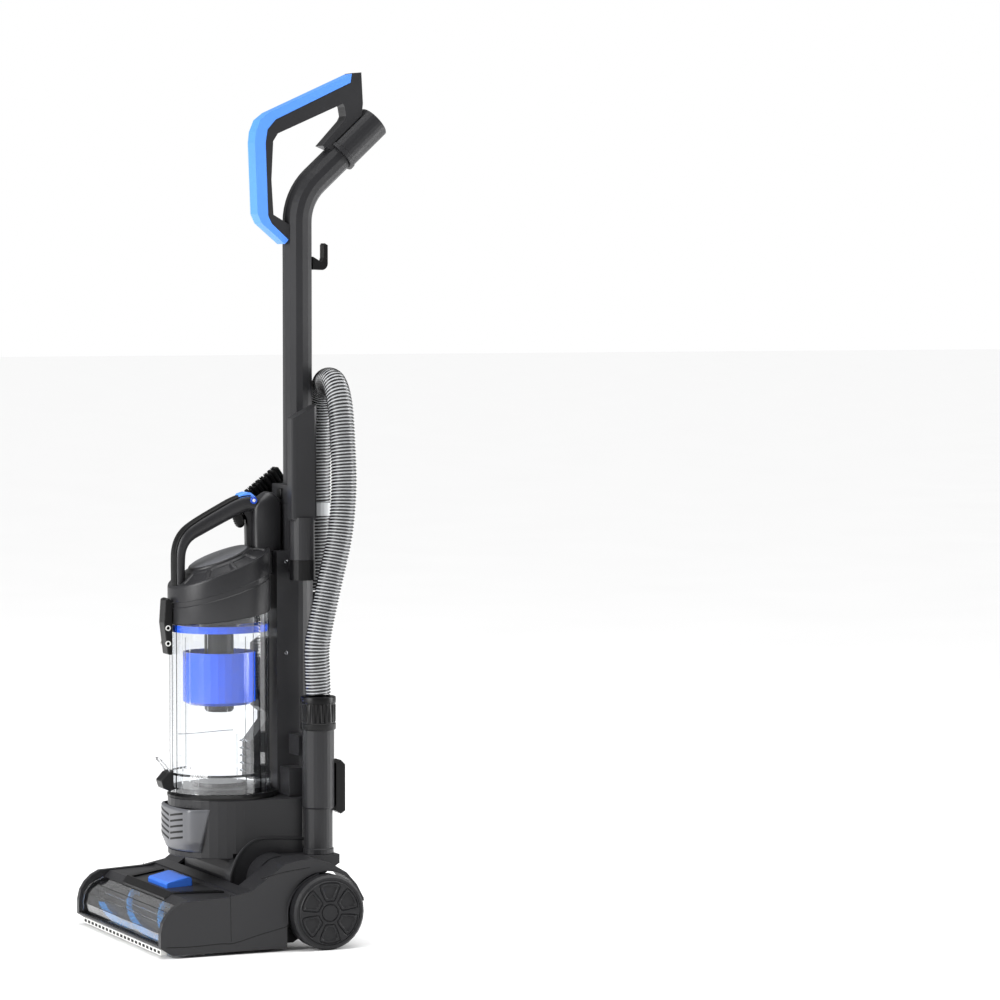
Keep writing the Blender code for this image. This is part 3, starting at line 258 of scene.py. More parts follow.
# %% Finishes of the frame nodes
FINISHES = {
    abs_charcoal: "nozzle_cover motor_housing spine lower_duct suction_elbow cup_lid "
                  "carry_handle wand_tube wand_collar handle_loop crevice_tool wand_socket",
    pp_black: "nozzle_base window_trim cup_base_ring tool_holder hose_inlet hose_cuff "
              "lower_cord_hook upper_cord_hook cyclone_stem front_strap bottom_door "
              "door_latch dusting_brush wand_release_button cup_inlet_ramp",
    grey_panel_and_lid_reflection: "exhaust_grille",
    pp_wheel: "wheel_left wheel_right hub_cap_left hub_cap_right front_roller_left "
              "front_roller_right brush_bearing_left brush_bearing_right",
    abs_pedal: "release_pedal",
    abs_blue: "seal_ring cyclone_cup power_switch brush_roll handle_pin",
    grip_blue: "handle_grip cup_release_button",
    pp_light: "hose_clip motor_fan",
    pp_white: "front_bumper",
    black_rubber_and_hole_shade: "rear_squeegee cord_gland drive_belt hose",
    nylon_black: "dusting_bristles",
    pc_clear: "dust_cup",
    pc_smoke: "nozzle_window",
    steel: "wheel_axle_left wheel_axle_right motor_shaft",
    aluminium: "motor",
    foam: "pre_motor_filter",
    paper: "exhaust_filter",
}
finished = set()
for material, names in FINISHES.items():
    for name in names.split():
        mesh = nodes[name].data
        mesh.materials.clear()
        mesh.materials.append(material)
        finished.add(name)
print("finished", len(finished), "of", len(nodes), "nodes")


# %% [markdown]
# New pieces are surfaces worked out as whole arrays: a grid of points, or many copies of
# one small shape, put into a mesh at once. A shape is a pair of arrays, its points and its
# faces, and a face has four corner numbers, of which the last is -1 in a triangle.

# %% Mesh helpers
WELD_DECIMALS = 7     # points that agree to a ten-thousandth of a millimetre are one


def six_volumes(points, faces):
    """Six times the signed volume of a closed mesh: the triple products of its triangles,
    added up."""
    a, b, c = (points[faces[:, k]] for k in range(3))
    d = points[np.where(faces[:, 3] < 0, faces[:, 2], faces[:, 3])]
    return (a * np.cross(b, c)).sum() + (a * np.cross(c, d)).sum()


def outward(points, faces):
    """Faces turned round if they enclose a negative volume."""
    if six_volumes(points, faces) > 0:
        return faces
    three = faces[:, 3] < 0
    flipped = faces[:, ::-1].copy()
    flipped[three] = faces[three][:, [2, 1, 0, 3]]
    return flipped


def skin(points):
    """Points and faces of a grid of points (rows, columns, 3), whose last column joins the
    first. Points that fall together, as at a pole, are welded, and a quad with two such
    corners becomes a triangle."""
    shape = points.shape[:2]
    flat = np.round(points.reshape(-1, 3), WELD_DECIMALS)
    flat, index = np.unique(flat, axis=0, return_inverse=True)
    index = index.reshape(shape)
    index = np.concatenate([index, index[:, :1]], 1)
    quads = np.stack([index[:-1, :-1], index[:-1, 1:], index[1:, 1:], index[1:, :-1]], -1)
    quads = quads.reshape(-1, 4)
    quads = quads[(quads == np.roll(quads, -1, axis=1)).sum(1) < 2]
    same = quads == np.roll(quads, -1, axis=1)
    order = (same.argmax(1)[:, None] + np.arange(1, 5)) % 4
    turned = np.take_along_axis(quads, order, 1)
    turned[:, 3] = -1
    quads = np.where(same.any(1)[:, None], turned, quads)
    return flat, outward(flat, quads)


def mesh_piece(name, shape, body, material, angle=40, values=None):
    """A shown piece from a shape, riding on a body. Edges sharper than angle stay crisp, and
    values are numbers for each point that a material can read."""
    points, faces = np.asarray(shape[0], np.float32), np.asarray(shape[1], np.int32)
    sizes = (faces >= 0).sum(1).astype(np.int32)
    corners = faces[faces >= 0].astype(np.int32)
    mesh = bpy.data.meshes.new(name)
    mesh.vertices.add(len(points))
    mesh.vertices.foreach_set("co", points.ravel())
    mesh.loops.add(len(corners))
    mesh.loops.foreach_set("vertex_index", corners)
    mesh.polygons.add(len(faces))
    mesh.polygons.foreach_set("loop_start", (np.cumsum(sizes) - sizes).astype(np.int32))
    for key, value in (values or {}).items():
        mesh.attributes.new(key, "FLOAT", "POINT").data.foreach_set(
            "value", np.asarray(value, np.float32).ravel())
    mesh.update(calc_edges=True)
    mesh.validate()
    mesh.polygons.foreach_set("use_smooth", np.ones(len(mesh.polygons), bool))
    mesh.set_sharp_from_angle(angle=math.radians(angle))
    mesh.materials.append(material)
    piece = bpy.data.objects.new(name, mesh)
    bpy.context.scene.collection.objects.link(piece)
    print(name, len(faces), "faces")
    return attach(piece, body)


def unit(vectors):
    """Vectors divided by their lengths."""
    return vectors / np.linalg.norm(vectors, axis=-1, keepdims=True)


def lathe(profile, steps=48, centre=(0, 0, 0), axis="Z"):
    """A closed profile of (radius, height) turned about an axis: radius times the cosine
    and sine of the turn, and the height along the axis."""
    profile = np.array([*profile, profile[0]], float)
    turn = np.arange(steps) * 2 * math.pi / steps
    r, h = profile[:, :1], profile[:, 1:]
    around = np.stack([r * np.cos(turn), r * np.sin(turn), h + 0 * turn], -1)
    order = {"Z": (0, 1, 2), "X": (2, 0, 1), "Y": (1, 2, 0)}[axis]
    return skin(around[..., order] + np.array(centre))


def superellipse(half_wide, half_high, power=2.6, steps=20):
    """A rounded box outline: signed powers of cosine and sine, scaled to its halves."""
    turn = np.arange(steps) * 2 * math.pi / steps
    c, s = np.cos(turn), np.sin(turn)
    return np.stack([np.sign(c) * np.abs(c) ** (2 / power) * half_wide,
                     np.sign(s) * np.abs(s) ** (2 / power) * half_high], -1)


def sweep(path, section, out=(1.0, 0.0, 0.0), scale=1.0):
    """A flat outline carried along a path. The outline's first number runs across the
    path, at right angles to out, and its second along out. scale sizes both: one number,
    or two for each path point."""
    path, section = np.asarray(path, float), np.asarray(section, float)
    tangent = unit(np.gradient(path, axis=0))
    out = np.broadcast_to(np.asarray(out, float), path.shape)
    out = unit(out - (out * tangent).sum(-1, keepdims=True) * tangent)
    across = np.cross(tangent, out)[:, None]
    sized = section * np.broadcast_to(scale, (len(path), 2))[:, None]
    rings = path[:, None] + sized[..., :1] * across + sized[..., 1:] * out[:, None]
    flat = np.ones((len(section), 1))
    return skin(np.concatenate([(flat * path[0])[None], rings, (flat * path[-1])[None]]))


def copies(shape, matrices):
    """One small shape repeated: each (3, 4) matrix turns and moves its own copy."""
    points, faces = shape
    matrices = np.asarray(matrices, float)
    placed = np.einsum("kij,nj->kni", matrices[:, :, :3], points) + matrices[:, None, :, 3]
    shifts = np.arange(len(matrices))[:, None, None] * len(points)
    faces = np.where(faces[None] < 0, -1, faces[None] + shifts)
    return placed.reshape(-1, 3), faces.reshape(-1, 4)


def merged(*shapes):
    """Several shapes as one."""
    starts = np.cumsum([0, *(len(p) for p, _ in shapes)])
    faces = [np.where(f < 0, -1, f + start) for (_, f), start in zip(shapes, starts)]
    return np.concatenate([p for p, _ in shapes]), np.concatenate(faces)


def placed(shape):
    """A shape of the drawing moved to its place in the frame."""
    return shape[0] + SHIFT, shape[1]


def mirror_place(side, place):
    """A (3, 4) matrix that moves a shape to place and, where side is -1, mirrors it in X."""
    return np.column_stack([np.diag((side, 1.0, 1.0)), place])


def mirrored(shape, matrices):
    """A shape at each place, its faces turned outwards again where the place mirrors it."""
    copied = [copies(shape, [matrix]) for matrix in matrices]
    return merged(*((points, outward(points, faces)) for points, faces in copied))


def smooth_step(value, low, high):
    """0 below low and 1 above high, with a soft cubic rise between."""
    t = np.clip((value - low) / (high - low), 0, 1)
    return t * t * (3 - 2 * t)


def slab(outline, low, high, soft, axes=(1, 2, 0)):
    """A flat outline given a thickness from low to high, its edges rounded by soft: four
    rows of the outline, the end ones drawn in towards its middle. axes say where the
    outline's two numbers and the thickness go."""
    outline = np.asarray(outline, float)
    step = unit(np.roll(outline, -1, 0) - np.roll(outline, 1, 0))
    inward = np.stack([-step[:, 1], step[:, 0]], -1)
    after = np.roll(outline, -1, 0)
    inward *= np.sign((outline[:, 0] * after[:, 1] - after[:, 0] * outline[:, 1]).sum())
    middle = outline.mean(0)
    rows = [(middle + 0 * outline, low), (outline + inward * soft, low), (outline, low + soft),
            (outline, high - soft), (outline + inward * soft, high), (middle + 0 * outline, high)]
    grid = np.zeros((len(rows), len(outline), 3))
    for k, (line, depth) in enumerate(rows):
        grid[k, :, axes[0]], grid[k, :, axes[1]], grid[k, :, axes[2]] = *line.T, depth
    return skin(grid)


# %% [markdown]
# The stretch hose is a black wire helix with a thin smoky film drawn in between its
# turns, about 4.2 mm apart. It leaves the ribbed cuff on top of the lower duct, stands
# up behind the wand, bends over and drops to the inlet on the back of the column.
# The grid is wound on the helix itself: each column of points starts a little further
# along the hose, so a rib always runs along a row of points and stays crisp.

# %% Stretch hose
HOSE_ROUTE = np.array([
    (0.086, 0.0225, 0.3153), (0.086, 0.0215, 0.345), (0.0862, 0.022, 0.385),
    (0.0865, 0.036, 0.450), (0.0855, 0.053, 0.520), (0.082, 0.0605, 0.580),
    (0.075, 0.0620, 0.640), (0.063, 0.0630, 0.690), (0.042, 0.0635, 0.7165),
    (0.014, 0.0640, 0.7190), (-0.008, 0.0665, 0.7010), (-0.019, 0.0672, 0.660),
    (-0.021, 0.0665, 0.600), (-0.021, 0.0665, 0.540), (-0.021, 0.0665, 0.480),
    (-0.021, 0.0665, 0.4403)])
RIB_PITCH, RIB_CREST, FILM_RADIUS = 0.0042, 0.0165, 0.0149
ROWS_PER_RIB, ROUND = 8, 28
LOOK_AHEAD = 0.002      # how far each way the line's direction is taken over


def through(route, per_span):
    """A Catmull-Rom curve: each span blends its four nearest points by cubic weights."""
    p = np.vstack([2 * route[0] - route[1], route, 2 * route[-1] - route[-2]])
    t = np.linspace(0, 1, per_span, endpoint=False)[:, None]
    a, b, c, d = (p[k:len(p) - 3 + k, None] for k in range(4))
    line = 0.5 * (2 * b + (c - a) * t + (2 * a - 5 * b + 4 * c - d) * t ** 2
                  + (3 * b - 3 * c + d - a) * t ** 3)
    return np.vstack([line.reshape(-1, p.shape[1]), route[-1]])


def along(line, distances):
    """Points of a line at given distances from its start."""
    steps = np.linalg.norm(np.diff(line, axis=0), axis=1)
    reach = np.concatenate([[0], np.cumsum(steps)])
    return np.stack([np.interp(distances, reach, line[:, k]) for k in range(3)], -1), reach[-1]


def wound_grid(line, length):
    """The hose's shape and the height of its rib at each point. A point's distance along
    the line is its row's start plus its share of one turn of the helix. Its radius swings
    from the film's to the rib's with a clipped cosine of the row. A ring of points ends one
    rib further on, so the last column joins the first that many rows ahead."""
    rows = int(length / RIB_PITCH * ROWS_PER_RIB)
    turn = np.arange(ROUND) * 2 * math.pi / ROUND
    start = np.arange(rows) * RIB_PITCH / ROWS_PER_RIB
    distance = np.clip(start[:, None] + RIB_PITCH * turn / (2 * math.pi), 0, length)
    centre, _ = along(line, distance)
    ahead, _ = along(line, np.clip(distance + LOOK_AHEAD, 0, length))
    behind, _ = along(line, np.clip(distance - LOOK_AHEAD, 0, length))
    tangent = unit(ahead - behind)
    side = unit(np.array((0.0, 1.0, 0.0)) - tangent[..., 1:2] * tangent)
    across = np.cross(tangent, side)
    phase = (np.arange(rows) % ROWS_PER_RIB) / ROWS_PER_RIB
    crest = np.clip(np.cos(phase * 2 * math.pi) * 1.25 + 0.25, -0.6, 1.0)[:, None] * 0.5 + 0.5
    radius = FILM_RADIUS + (RIB_CREST - FILM_RADIUS) * crest
    points = centre + radius[..., None] * (np.cos(turn)[:, None] * side
                                           + np.sin(turn)[:, None] * across)
    row, column = np.meshgrid(np.arange(rows - 1 - ROWS_PER_RIB), np.arange(ROUND), indexing="ij")
    here = row * ROUND + column
    beside = np.where(column == ROUND - 1, (row + ROWS_PER_RIB) * ROUND, here + 1)
    faces = np.stack([here, beside, beside + ROUND, here + ROUND], -1).reshape(-1, 4)
    return (points.reshape(-1, 3), faces), np.broadcast_to(crest, (rows, ROUND))


hose_line = through(HOSE_ROUTE, 40) + SHIFT
_, HOSE_LENGTH = along(hose_line, 0)
hose_shape, rib_height = wound_grid(hose_line, HOSE_LENGTH)
print("hose", round(HOSE_LENGTH, 3), "m,", len(hose_shape[1]), "quads")

# %% [markdown]
# The hose's film is thin grey PVC that lets some light through, and the wire in it is
# coated black. Each point of the mesh knows how high its rib stands, and the material
# reads that number to tell wire from film.

# %% Hose finish and piece
film, tree, out = blank("pvc_hose_wire_and_film")
rib = add(tree, "ShaderNodeAttribute", attribute_name="rib").outputs["Fac"]
wire = add(tree, "ShaderNodeMapRange", {"Value": rib, "From Min": 0.35, "From Max": 0.55})
tone = add(tree, "ShaderNodeMix", data_type="RGBA")
for identifier, colour in (("A_Color", "#c3c5c8"), ("B_Color", "#09090a")):
    next(i for i in tone.inputs if i.identifier == identifier).default_value = hex_colour(colour)
tree.links.new(wire.outputs["Result"], tone.inputs["Factor"])
see = add(tree, "ShaderNodeMapRange", {"Value": rib, "From Min": 0.35, "From Max": 0.55,
                                       "To Min": 0.80, "To Max": 1.0})
shader = add(tree, "ShaderNodeBsdfPrincipled",
             {"Base Color": next(o for o in tone.outputs if o.type == "RGBA"),
              "Roughness": 0.26, "IOR": 1.53, "Alpha": see.outputs["Result"]})
tree.links.new(shader.outputs["BSDF"], out.inputs["Surface"])

hose = mesh_piece("stretch_hose", hose_shape, "upright", film, angle=75,
                  values={"rib": rib_height})
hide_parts("hose")

# %% [markdown]
# The cup's lid is a moulded wedge: its joint with the cup leans back by seven degrees and
# its top by twenty. A round plate sits in the middle, ringed by sunk facets with ribs
# between them, and one groove runs round the wall. It is a grid in polar coordinates, where
# each row has its radius and its own leaning plane.

# %% Cup lid
CUP_AXIS_Y, LID_RADIUS, FACETS = -0.081, 0.0665, 10
CUP_AXIS = at(0, CUP_AXIS_Y, 0)
# Each leaning plane is its height on the cup's axis and its slope from front to back.
JOINT, GROOVE_LOW, GROOVE_HIGH = (0.4157, 0.1228), (0.4484, 0.300), (0.4552, 0.306)
RIM, PLATE, CEILING = (0.4804, 0.372), (0.4930, 0.364), (0.4520, 0.0)
CONE_INNER, CONE_OUTER, CONE_RISE, FACET_DEPTH = 0.0410, 0.0625, 0.0090, 0.0020


def lid_grid(steps=180):
    """Rows of (radius, plane, height over it); height is the plane's height on the axis
    plus its slope times the depth behind the axis. Facets sink where a wave round the
    axis and a window along the radius both say so."""
    rows = [(0.0, PLATE, 0.0), (0.030, PLATE, 0.0), (0.0304, PLATE, -0.0004),
            (0.0312, PLATE, -0.0004), (0.0316, PLATE, 0.0), (0.0380, PLATE, 0.0),
            (0.0392, PLATE, -0.0004), (0.0398, PLATE, -0.0012), (0.0400, PLATE, -0.0030)]
    rows += [(r, RIM, CONE_RISE * (CONE_OUTER - r) / (CONE_OUTER - CONE_INNER))
             for r in np.linspace(CONE_INNER, CONE_OUTER, 26)]
    rows += [(0.0640, RIM, 0.0004), (0.0655, RIM, 0.0), (0.0662, RIM, -0.0010),
             (LID_RADIUS, RIM, -0.0030), (LID_RADIUS, GROOVE_HIGH, 0.0008),
             (0.0659, GROOVE_HIGH, 0.0), (0.0656, GROOVE_LOW, 0.0004),
             (LID_RADIUS, GROOVE_LOW, -0.0006), (LID_RADIUS, JOINT, 0.0012),
             (0.0660, JOINT, 0.0), (0.0612, JOINT, 0.0), (0.0605, JOINT, 0.0010),
             (0.0605, CEILING, 0.0), (0.0, CEILING, 0.0)]
    radius = np.array([row[0] for row in rows])[:, None]
    level = np.array([row[1][0] + row[2] for row in rows])[:, None]
    slope = np.array([row[1][1] for row in rows])[:, None]
    turn = np.arange(steps) * 2 * math.pi / steps
    wave = np.abs((turn * FACETS / (2 * math.pi)) % 1 - 0.5) * 2
    window = smooth_step(radius, 0.0430, 0.0445) * (1 - smooth_step(radius, 0.0590, 0.0602))
    on_cone = (slope == RIM[1]) & (radius < CONE_OUTER + 0.0001)
    sunk = np.where(on_cone, window * (1 - smooth_step(wave, 0.76, 0.88)) * FACET_DEPTH, 0.0)
    y = radius * np.sin(turn)
    return np.stack([radius * np.cos(turn), y, level + slope * y - sunk], -1)


def plate_grid(steps=120):
    """A thin disc on the lid's middle plane: rows of (radius, height over the plane)."""
    rows = [(0.0, -0.0020), (0.0372, -0.0020), (0.0374, 0.0002), (0.0368, 0.0007), (0.0, 0.0009)]
    radius, rise = np.array(rows).T[:, :, None]
    turn = np.arange(steps) * 2 * math.pi / steps
    y = radius * np.sin(turn)
    return np.stack([radius * np.cos(turn), y, PLATE[0] + rise + PLATE[1] * y], -1)


lid = mesh_piece("cup_lid_moulded", skin(lid_grid() + CUP_AXIS), "cup",
                 abs_charcoal, angle=32)
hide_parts("cup_lid")
# The plate's lighter grey is a painted reflection on its flat face.
mesh_piece("lid_plate_painted_reflection", skin(plate_grid() + CUP_AXIS), "cup", grey_panel_and_lid_reflection)

# %% [markdown]
# The exhaust panel wraps round the housing's front, flatter there than the housing
# itself. Its surface is a radius about the housing's upright axis: a rounded box's radius
# in front, fading to the housing's own at the sides and the lower edge. The slots are
# short black strips in two leaning columns, laid on the same surface. They are painted
# shade, standing in for the dark inside each slot.

# %% Exhaust panel
PANEL_AXIS_Y, PANEL_TOP, PANEL_FOOT = -0.0745, 0.1716, 0.1160
BOXY, BOX_RADIUS, HOUSING_RADIUS = 3.2, 0.0750, 0.0742
EDGE_ROUND, PANEL_BACK = 0.0014, -0.0035


def on_panel(angle, z, proud):
    """The panel's surface at an angle from the front and a height, moved out by proud."""
    sine, cosine = np.sin(angle), np.cos(angle)
    boxy = BOX_RADIUS / (np.abs(sine) ** BOXY + np.abs(cosine) ** BOXY) ** (1 / BOXY)
    fade = 1 - smooth_step(np.abs(angle), math.radians(34), math.radians(55))
    fade = fade * (0.25 + 0.75 * smooth_step(z, 0.1150, 0.1320))
    radius = HOUSING_RADIUS + (boxy - HOUSING_RADIUS) * fade + proud
    return np.stack([radius * sine, -radius * cosine + PANEL_AXIS_Y, z + 0 * angle], -1)


def panel_grid(rows=28, columns=72):
    """Rows from foot to top, each a front edge and a back edge that close on themselves.
    The panel widens upwards, and its border dips towards the housing as a soft edge."""
    share = np.linspace(0, 1, rows)[:, None]
    z = PANEL_FOOT + (PANEL_TOP - PANEL_FOOT) * share
    reach = np.radians(46 + 9 * share)
    angle = reach * np.linspace(-1, 1, columns)
    edge = np.minimum(np.minimum(share, 1 - share) * 0.056, (reach - np.abs(angle)) * 0.074)
    dip = 0.0006 - 0.0016 * (1 - smooth_step(edge, 0.0, EDGE_ROUND))
    loops = np.concatenate([on_panel(angle, z, dip), on_panel(angle, z, PANEL_BACK)[:, ::-1]], 1)
    ends = np.repeat(loops.mean(1, keepdims=True), loops.shape[1], 1)
    return np.concatenate([ends[:1], loops, ends[-1:]])


panel = mesh_piece("exhaust_panel", skin(panel_grid() + SHIFT), "upright",
                   grey_panel_and_lid_reflection, angle=50)
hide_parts("exhaust_grille")


def slot_shade_strip(side, z_outer, steps=12):
    """The painted shade of one slot: a thin black four-sided strip from near the middle to
    29 degrees out, which climbs by 6 mm on its way."""
    angle = np.radians(np.linspace(2.2, 29.0, steps))
    z = z_outer - 0.0060 * (1 - np.linspace(0, 1, steps))
    section = ((-0.0013, -0.001), (-0.0013, 0.0009), (0.0013, 0.0009), (0.0013, -0.001))
    strip = np.stack([on_panel(side * angle, z + up, out) for up, out in section], 1)
    ends = strip.mean(1, keepdims=True).repeat(4, 1)
    return skin(np.concatenate([ends[:1], strip, ends[-1:]]))


slot_shade_strips = merged(*(slot_shade_strip(side, z) for side in (1, -1) for z in np.linspace(0.1355, 0.1660, 5)))
# Black strips on the panel: painted shade in place of the dark inside the slots.
mesh_piece("exhaust_slot_shade_strips", placed(slot_shade_strips), "upright", black_rubber_and_hole_shade)

# %% [markdown]
# A moulded arch covers the end of the motor barrel beside the suction elbow. A lip runs
# round its upper edge and along the housing's side.

# %% Pivot cover
COVER_INNER, COVER_OUTER = 0.0560, 0.0742
ARCH = through(np.array([(-0.0955, 0.0800), (-0.0935, 0.0930), (-0.0850, 0.1125),
                         (-0.0711, 0.1275), (-0.0552, 0.1338), (-0.0300, 0.1338),
                         (0.0060, 0.1312)]), 8)
cover = slab([*ARCH, (0.0060, 0.0960), (-0.0100, 0.0620), (-0.0400, 0.0480), (-0.0700, 0.0520),
              (-0.0880, 0.0650)], COVER_INNER, COVER_OUTER, 0.0008)
lip = sweep(np.stack([0 * ARCH[:, 0] + COVER_OUTER, ARCH[:, 0] + 0.0016, ARCH[:, 1] - 0.0016], -1),
            superellipse(0.0020, 0.0012, 2.6, 12))
mesh_piece("pivot_cover", placed(merged(cover, lip)), "upright", abs_charcoal)

# %% [markdown]
# The carry handle is a hollow bar with a soft oval section. It rises from the lid's front,
# bends over and runs back to a column above the lid's rear. A section carried along the
# bar's middle line, swelling towards the rear, gives the same shape as the mould.

# %% Carry handle
BAR = np.array([(-0.1366, 0.4540, 0.0072), (-0.1366, 0.4700, 0.0073), (-0.1366, 0.4842, 0.0074),
                (-0.1357, 0.5000, 0.0078), (-0.1315, 0.5125, 0.0086), (-0.1232, 0.5228, 0.0096),
                (-0.1080, 0.5322, 0.0107), (-0.0790, 0.5472, 0.0114), (-0.0560, 0.5580, 0.0118),
                (-0.0420, 0.5612, 0.0112), (-0.0280, 0.5590, 0.0100)])
BAR_HALF_WIDE, COLUMN_HALF_WIDE = 0.0122, 0.0165


def in_middle(line):
    """Points of (depth, height) on the machine's middle plane."""
    return np.stack([0 * line[:, 0], line[:, 0], line[:, 1]], -1) + SHIFT


bar_line = through(BAR, 8)
bar_path = in_middle(bar_line)
bar = sweep(bar_path, superellipse(1.0, 1.0, 2.5, 32),
            scale=np.stack([bar_line[:, 2], 0 * bar_line[:, 2] + BAR_HALF_WIDE], -1))
# The column's rows are (depth, height, half its depth, share of its width).
COLUMN = np.array([(-0.0248, 0.4700, 0.0122, 1), (-0.0248, 0.4990, 0.0122, 1),
                   (-0.0168, 0.5018, 0.0204, 1), (-0.0168, 0.5400, 0.0204, 1),
                   (-0.0168, 0.5560, 0.0202, 1), (-0.0184, 0.5632, 0.0180, 0.97),
                   (-0.0206, 0.5682, 0.0142, 0.86), (-0.0222, 0.5708, 0.0090, 0.62),
                   (-0.0230, 0.5716, 0.0040, 0.3)])
column = sweep(in_middle(COLUMN), superellipse(1.0, 1.0, 3.2, 40),
               scale=COLUMN[:, 2:] * (1.0, COLUMN_HALF_WIDE))
flange = placed(slab([(-0.0437, 0.4960), (-0.0330, 0.4960), (-0.0330, 0.5560), (-0.0520, 0.5540),
                      (-0.0446, 0.5430)], -0.0045, 0.0045, 0.0007))
saddle = placed(slab([(-0.0490, 0.4700), (-0.0150, 0.4700), (-0.0150, 0.4965), (-0.0168, 0.4990),
                      (-0.0460, 0.5042), (-0.0490, 0.5020)], -0.0215, 0.0215, 0.0012))
handle = mesh_piece("carry_handle_moulded", merged(bar, column, flange, saddle), "cup",
                    abs_charcoal)
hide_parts("carry_handle")

# %% [markdown]
# A black soft strip is moulded over the bar's outer side, and a ribbed black thumb catch
# hangs in the corner behind it. The blue release button lies in the bar's crown, and a
# pin with a pale end shows on each side.

# %% Handle trims
STRIP_POINTS, CATCH_ROWS = 74, 25
PIN_Y, PIN_Z = -0.0368, 0.5652
lean = unit(np.gradient(bar_path[:STRIP_POINTS], axis=0))
outside = np.cross(lean, (1.0, 0.0, 0.0))
outside *= np.sign(outside[:, 2:].sum())
strip_path = bar_path[:STRIP_POINTS] + outside * (bar_line[:STRIP_POINTS, 2:] - 0.0012)
strip = sweep(strip_path, superellipse(0.0024, 0.0094, 2.4, 20))
catch_path = np.linspace((0, -0.0565, 0.5480), (0, -0.0500, 0.5300), CATCH_ROWS) + SHIFT
ribs = 1 + 0.08 * np.cos(np.arange(CATCH_ROWS) * 1.6)
fade = np.sqrt(np.clip(1 - (np.arange(CATCH_ROWS) / (CATCH_ROWS - 0.5)) ** 6, 0, 1))
catch = sweep(catch_path, superellipse(1, 1, 3, 20),
              scale=np.stack([0.0058 * ribs * fade, 0.0085 * fade], -1))
mesh_piece("handle_over_mould", merged(strip, catch), "cup", black_rubber_and_hole_shade, angle=50)
button = slab([(-0.0590, 0.5672), (-0.0535, 0.5738), (-0.0458, 0.5762), (-0.0395, 0.5752),
               (-0.0330, 0.5702), (-0.0360, 0.5660)], -0.0090, 0.0090, 0.0012)
button = mesh_piece("cup_release_button_moulded", placed(button), "cup_button",
                    grip_blue, angle=50)
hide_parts("cup_release_button")
ring = lathe([(0.0022, 0.0105), (0.0046, 0.0105), (0.0046, 0.0126), (0.0041, 0.0131),
              (0.0022, 0.0131)], 32, axis="X")
pip = lathe([(0, 0.0105), (0.0021, 0.0105), (0.0021, 0.0131), (0.0012, 0.0136), (0, 0.0137)],
            24, axis="X")
PIN_PLACES = [mirror_place(side, at(0, PIN_Y, PIN_Z)) for side in (1, -1)]
pin = mesh_piece("handle_pin_rings", mirrored(ring, PIN_PLACES), "cup", abs_blue)
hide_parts("handle_pin")
mesh_piece("handle_pin_ends", mirrored(pip, PIN_PLACES), "cup", pp_white)

# %% [markdown]
# Each rear wheel carries a moulded cap with six petals round a hub ring, each one cut
# out by a groove and sunk in its middle. Its face is a height over a polar grid.

# %% Wheel caps
AXLE_Z, CAP_RADIUS, CAP_FACE, CAP_BACK = 0.048, 0.0412, 0.1812, 0.1780
PETALS, SOFT_CORNER, GROOVE_DEPTH, POCKET_DEPTH = 6, 0.0014, 0.0013, 0.0016


def cap_grid(steps=240):
    """Face height by radius and angle, then the rim and a flat back. How far a point is
    inside a petal is a soft least of its distances to the petal's four sides; a groove
    follows where that is nothing, and a pocket starts a little further in."""
    radius = np.concatenate([[0.0], np.linspace(0.002, 0.0400, 110)])[:, None]
    turn = np.arange(steps) * 2 * math.pi / steps
    off_middle = np.abs((turn * PETALS / (2 * math.pi)) % 1 - 0.5) * 2 * (math.pi / PETALS)
    sides = (radius - 0.0150, 0.0386 - radius, radius * (0.40 - off_middle))
    inside = -SOFT_CORNER * np.log(sum(np.exp(-side / SOFT_CORNER) for side in sides))
    groove = 1 - smooth_step(np.abs(inside), 0.0003, 0.0010)
    pocket = smooth_step(inside, 0.0026, 0.0034)
    hub_groove = 1 - smooth_step(np.abs(radius - 0.0108), 0.0004, 0.0010)
    height = CAP_FACE - GROOVE_DEPTH * (groove + hub_groove) - POCKET_DEPTH * pocket + 0 * turn
    edge = np.array([(0.0406, 0.1804), (CAP_RADIUS, 0.1797), (CAP_RADIUS, CAP_BACK),
                     (0.0, CAP_BACK)])
    radius = np.concatenate([radius, edge[:, :1]])
    height = np.concatenate([height, np.repeat(edge[:, 1:], steps, 1)])
    return np.stack([height, radius * np.cos(turn), radius * np.sin(turn)], -1)


for side, word in ((1, "right"), (-1, "left")):
    cap = mirrored(skin(cap_grid()), [mirror_place(side, at(0, 0, AXLE_Z))])
    cap = mesh_piece(f"wheel_cap_petals_{word}", cap, f"{word}_wheel", pp_wheel,
                     angle=35)
    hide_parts(f"hub_cap_{word}")

# %% [markdown]
# The brush roll is a dark moulded core with two rows of blue nylon tufts set in a helix.
# The strands are one small tapered stick, repeated: each stands out along the radius and
# leans a little its own way, from a seeded random draw.

# %% Brush roll
BRUSH_PLACE = at(0, -0.178, 0.030)
core = lathe([(0, -0.156), (0.0044, -0.156), (0.0044, -0.1405), (0.0160, -0.1405),
              (0.0150, -0.1400), (0.0150, -0.1320), (0.0170, -0.1315), (0.0170, 0.1395),
              (0.0160, 0.1405), (0.0044, 0.1405), (0.0044, 0.156), (0, 0.156)],
             48, BRUSH_PLACE, "X")
roll = mesh_piece("brush_core", core, "brush", pp_black, angle=35)
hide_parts("brush_roll")
draw = np.random.default_rng(7)


def strand(length, root, tip):
    """A four-sided tapered stick from the origin along Z, closed at both ends."""
    turn = np.arange(4) * math.pi / 2
    radius, height = np.array([(0, 0), (root, 0), (tip, length), (0, length)]).T[:, :, None]
    return skin(np.stack([radius * np.cos(turn), radius * np.sin(turn), height + 0 * turn], -1))


def standing(places, directions):
    """Matrices that put Z along each direction and the origin at each place."""
    z = unit(directions)
    x = unit(np.cross(z, (0.31, 0.95, 0.05)))
    return np.stack([x, np.cross(z, x), z, places], -1)


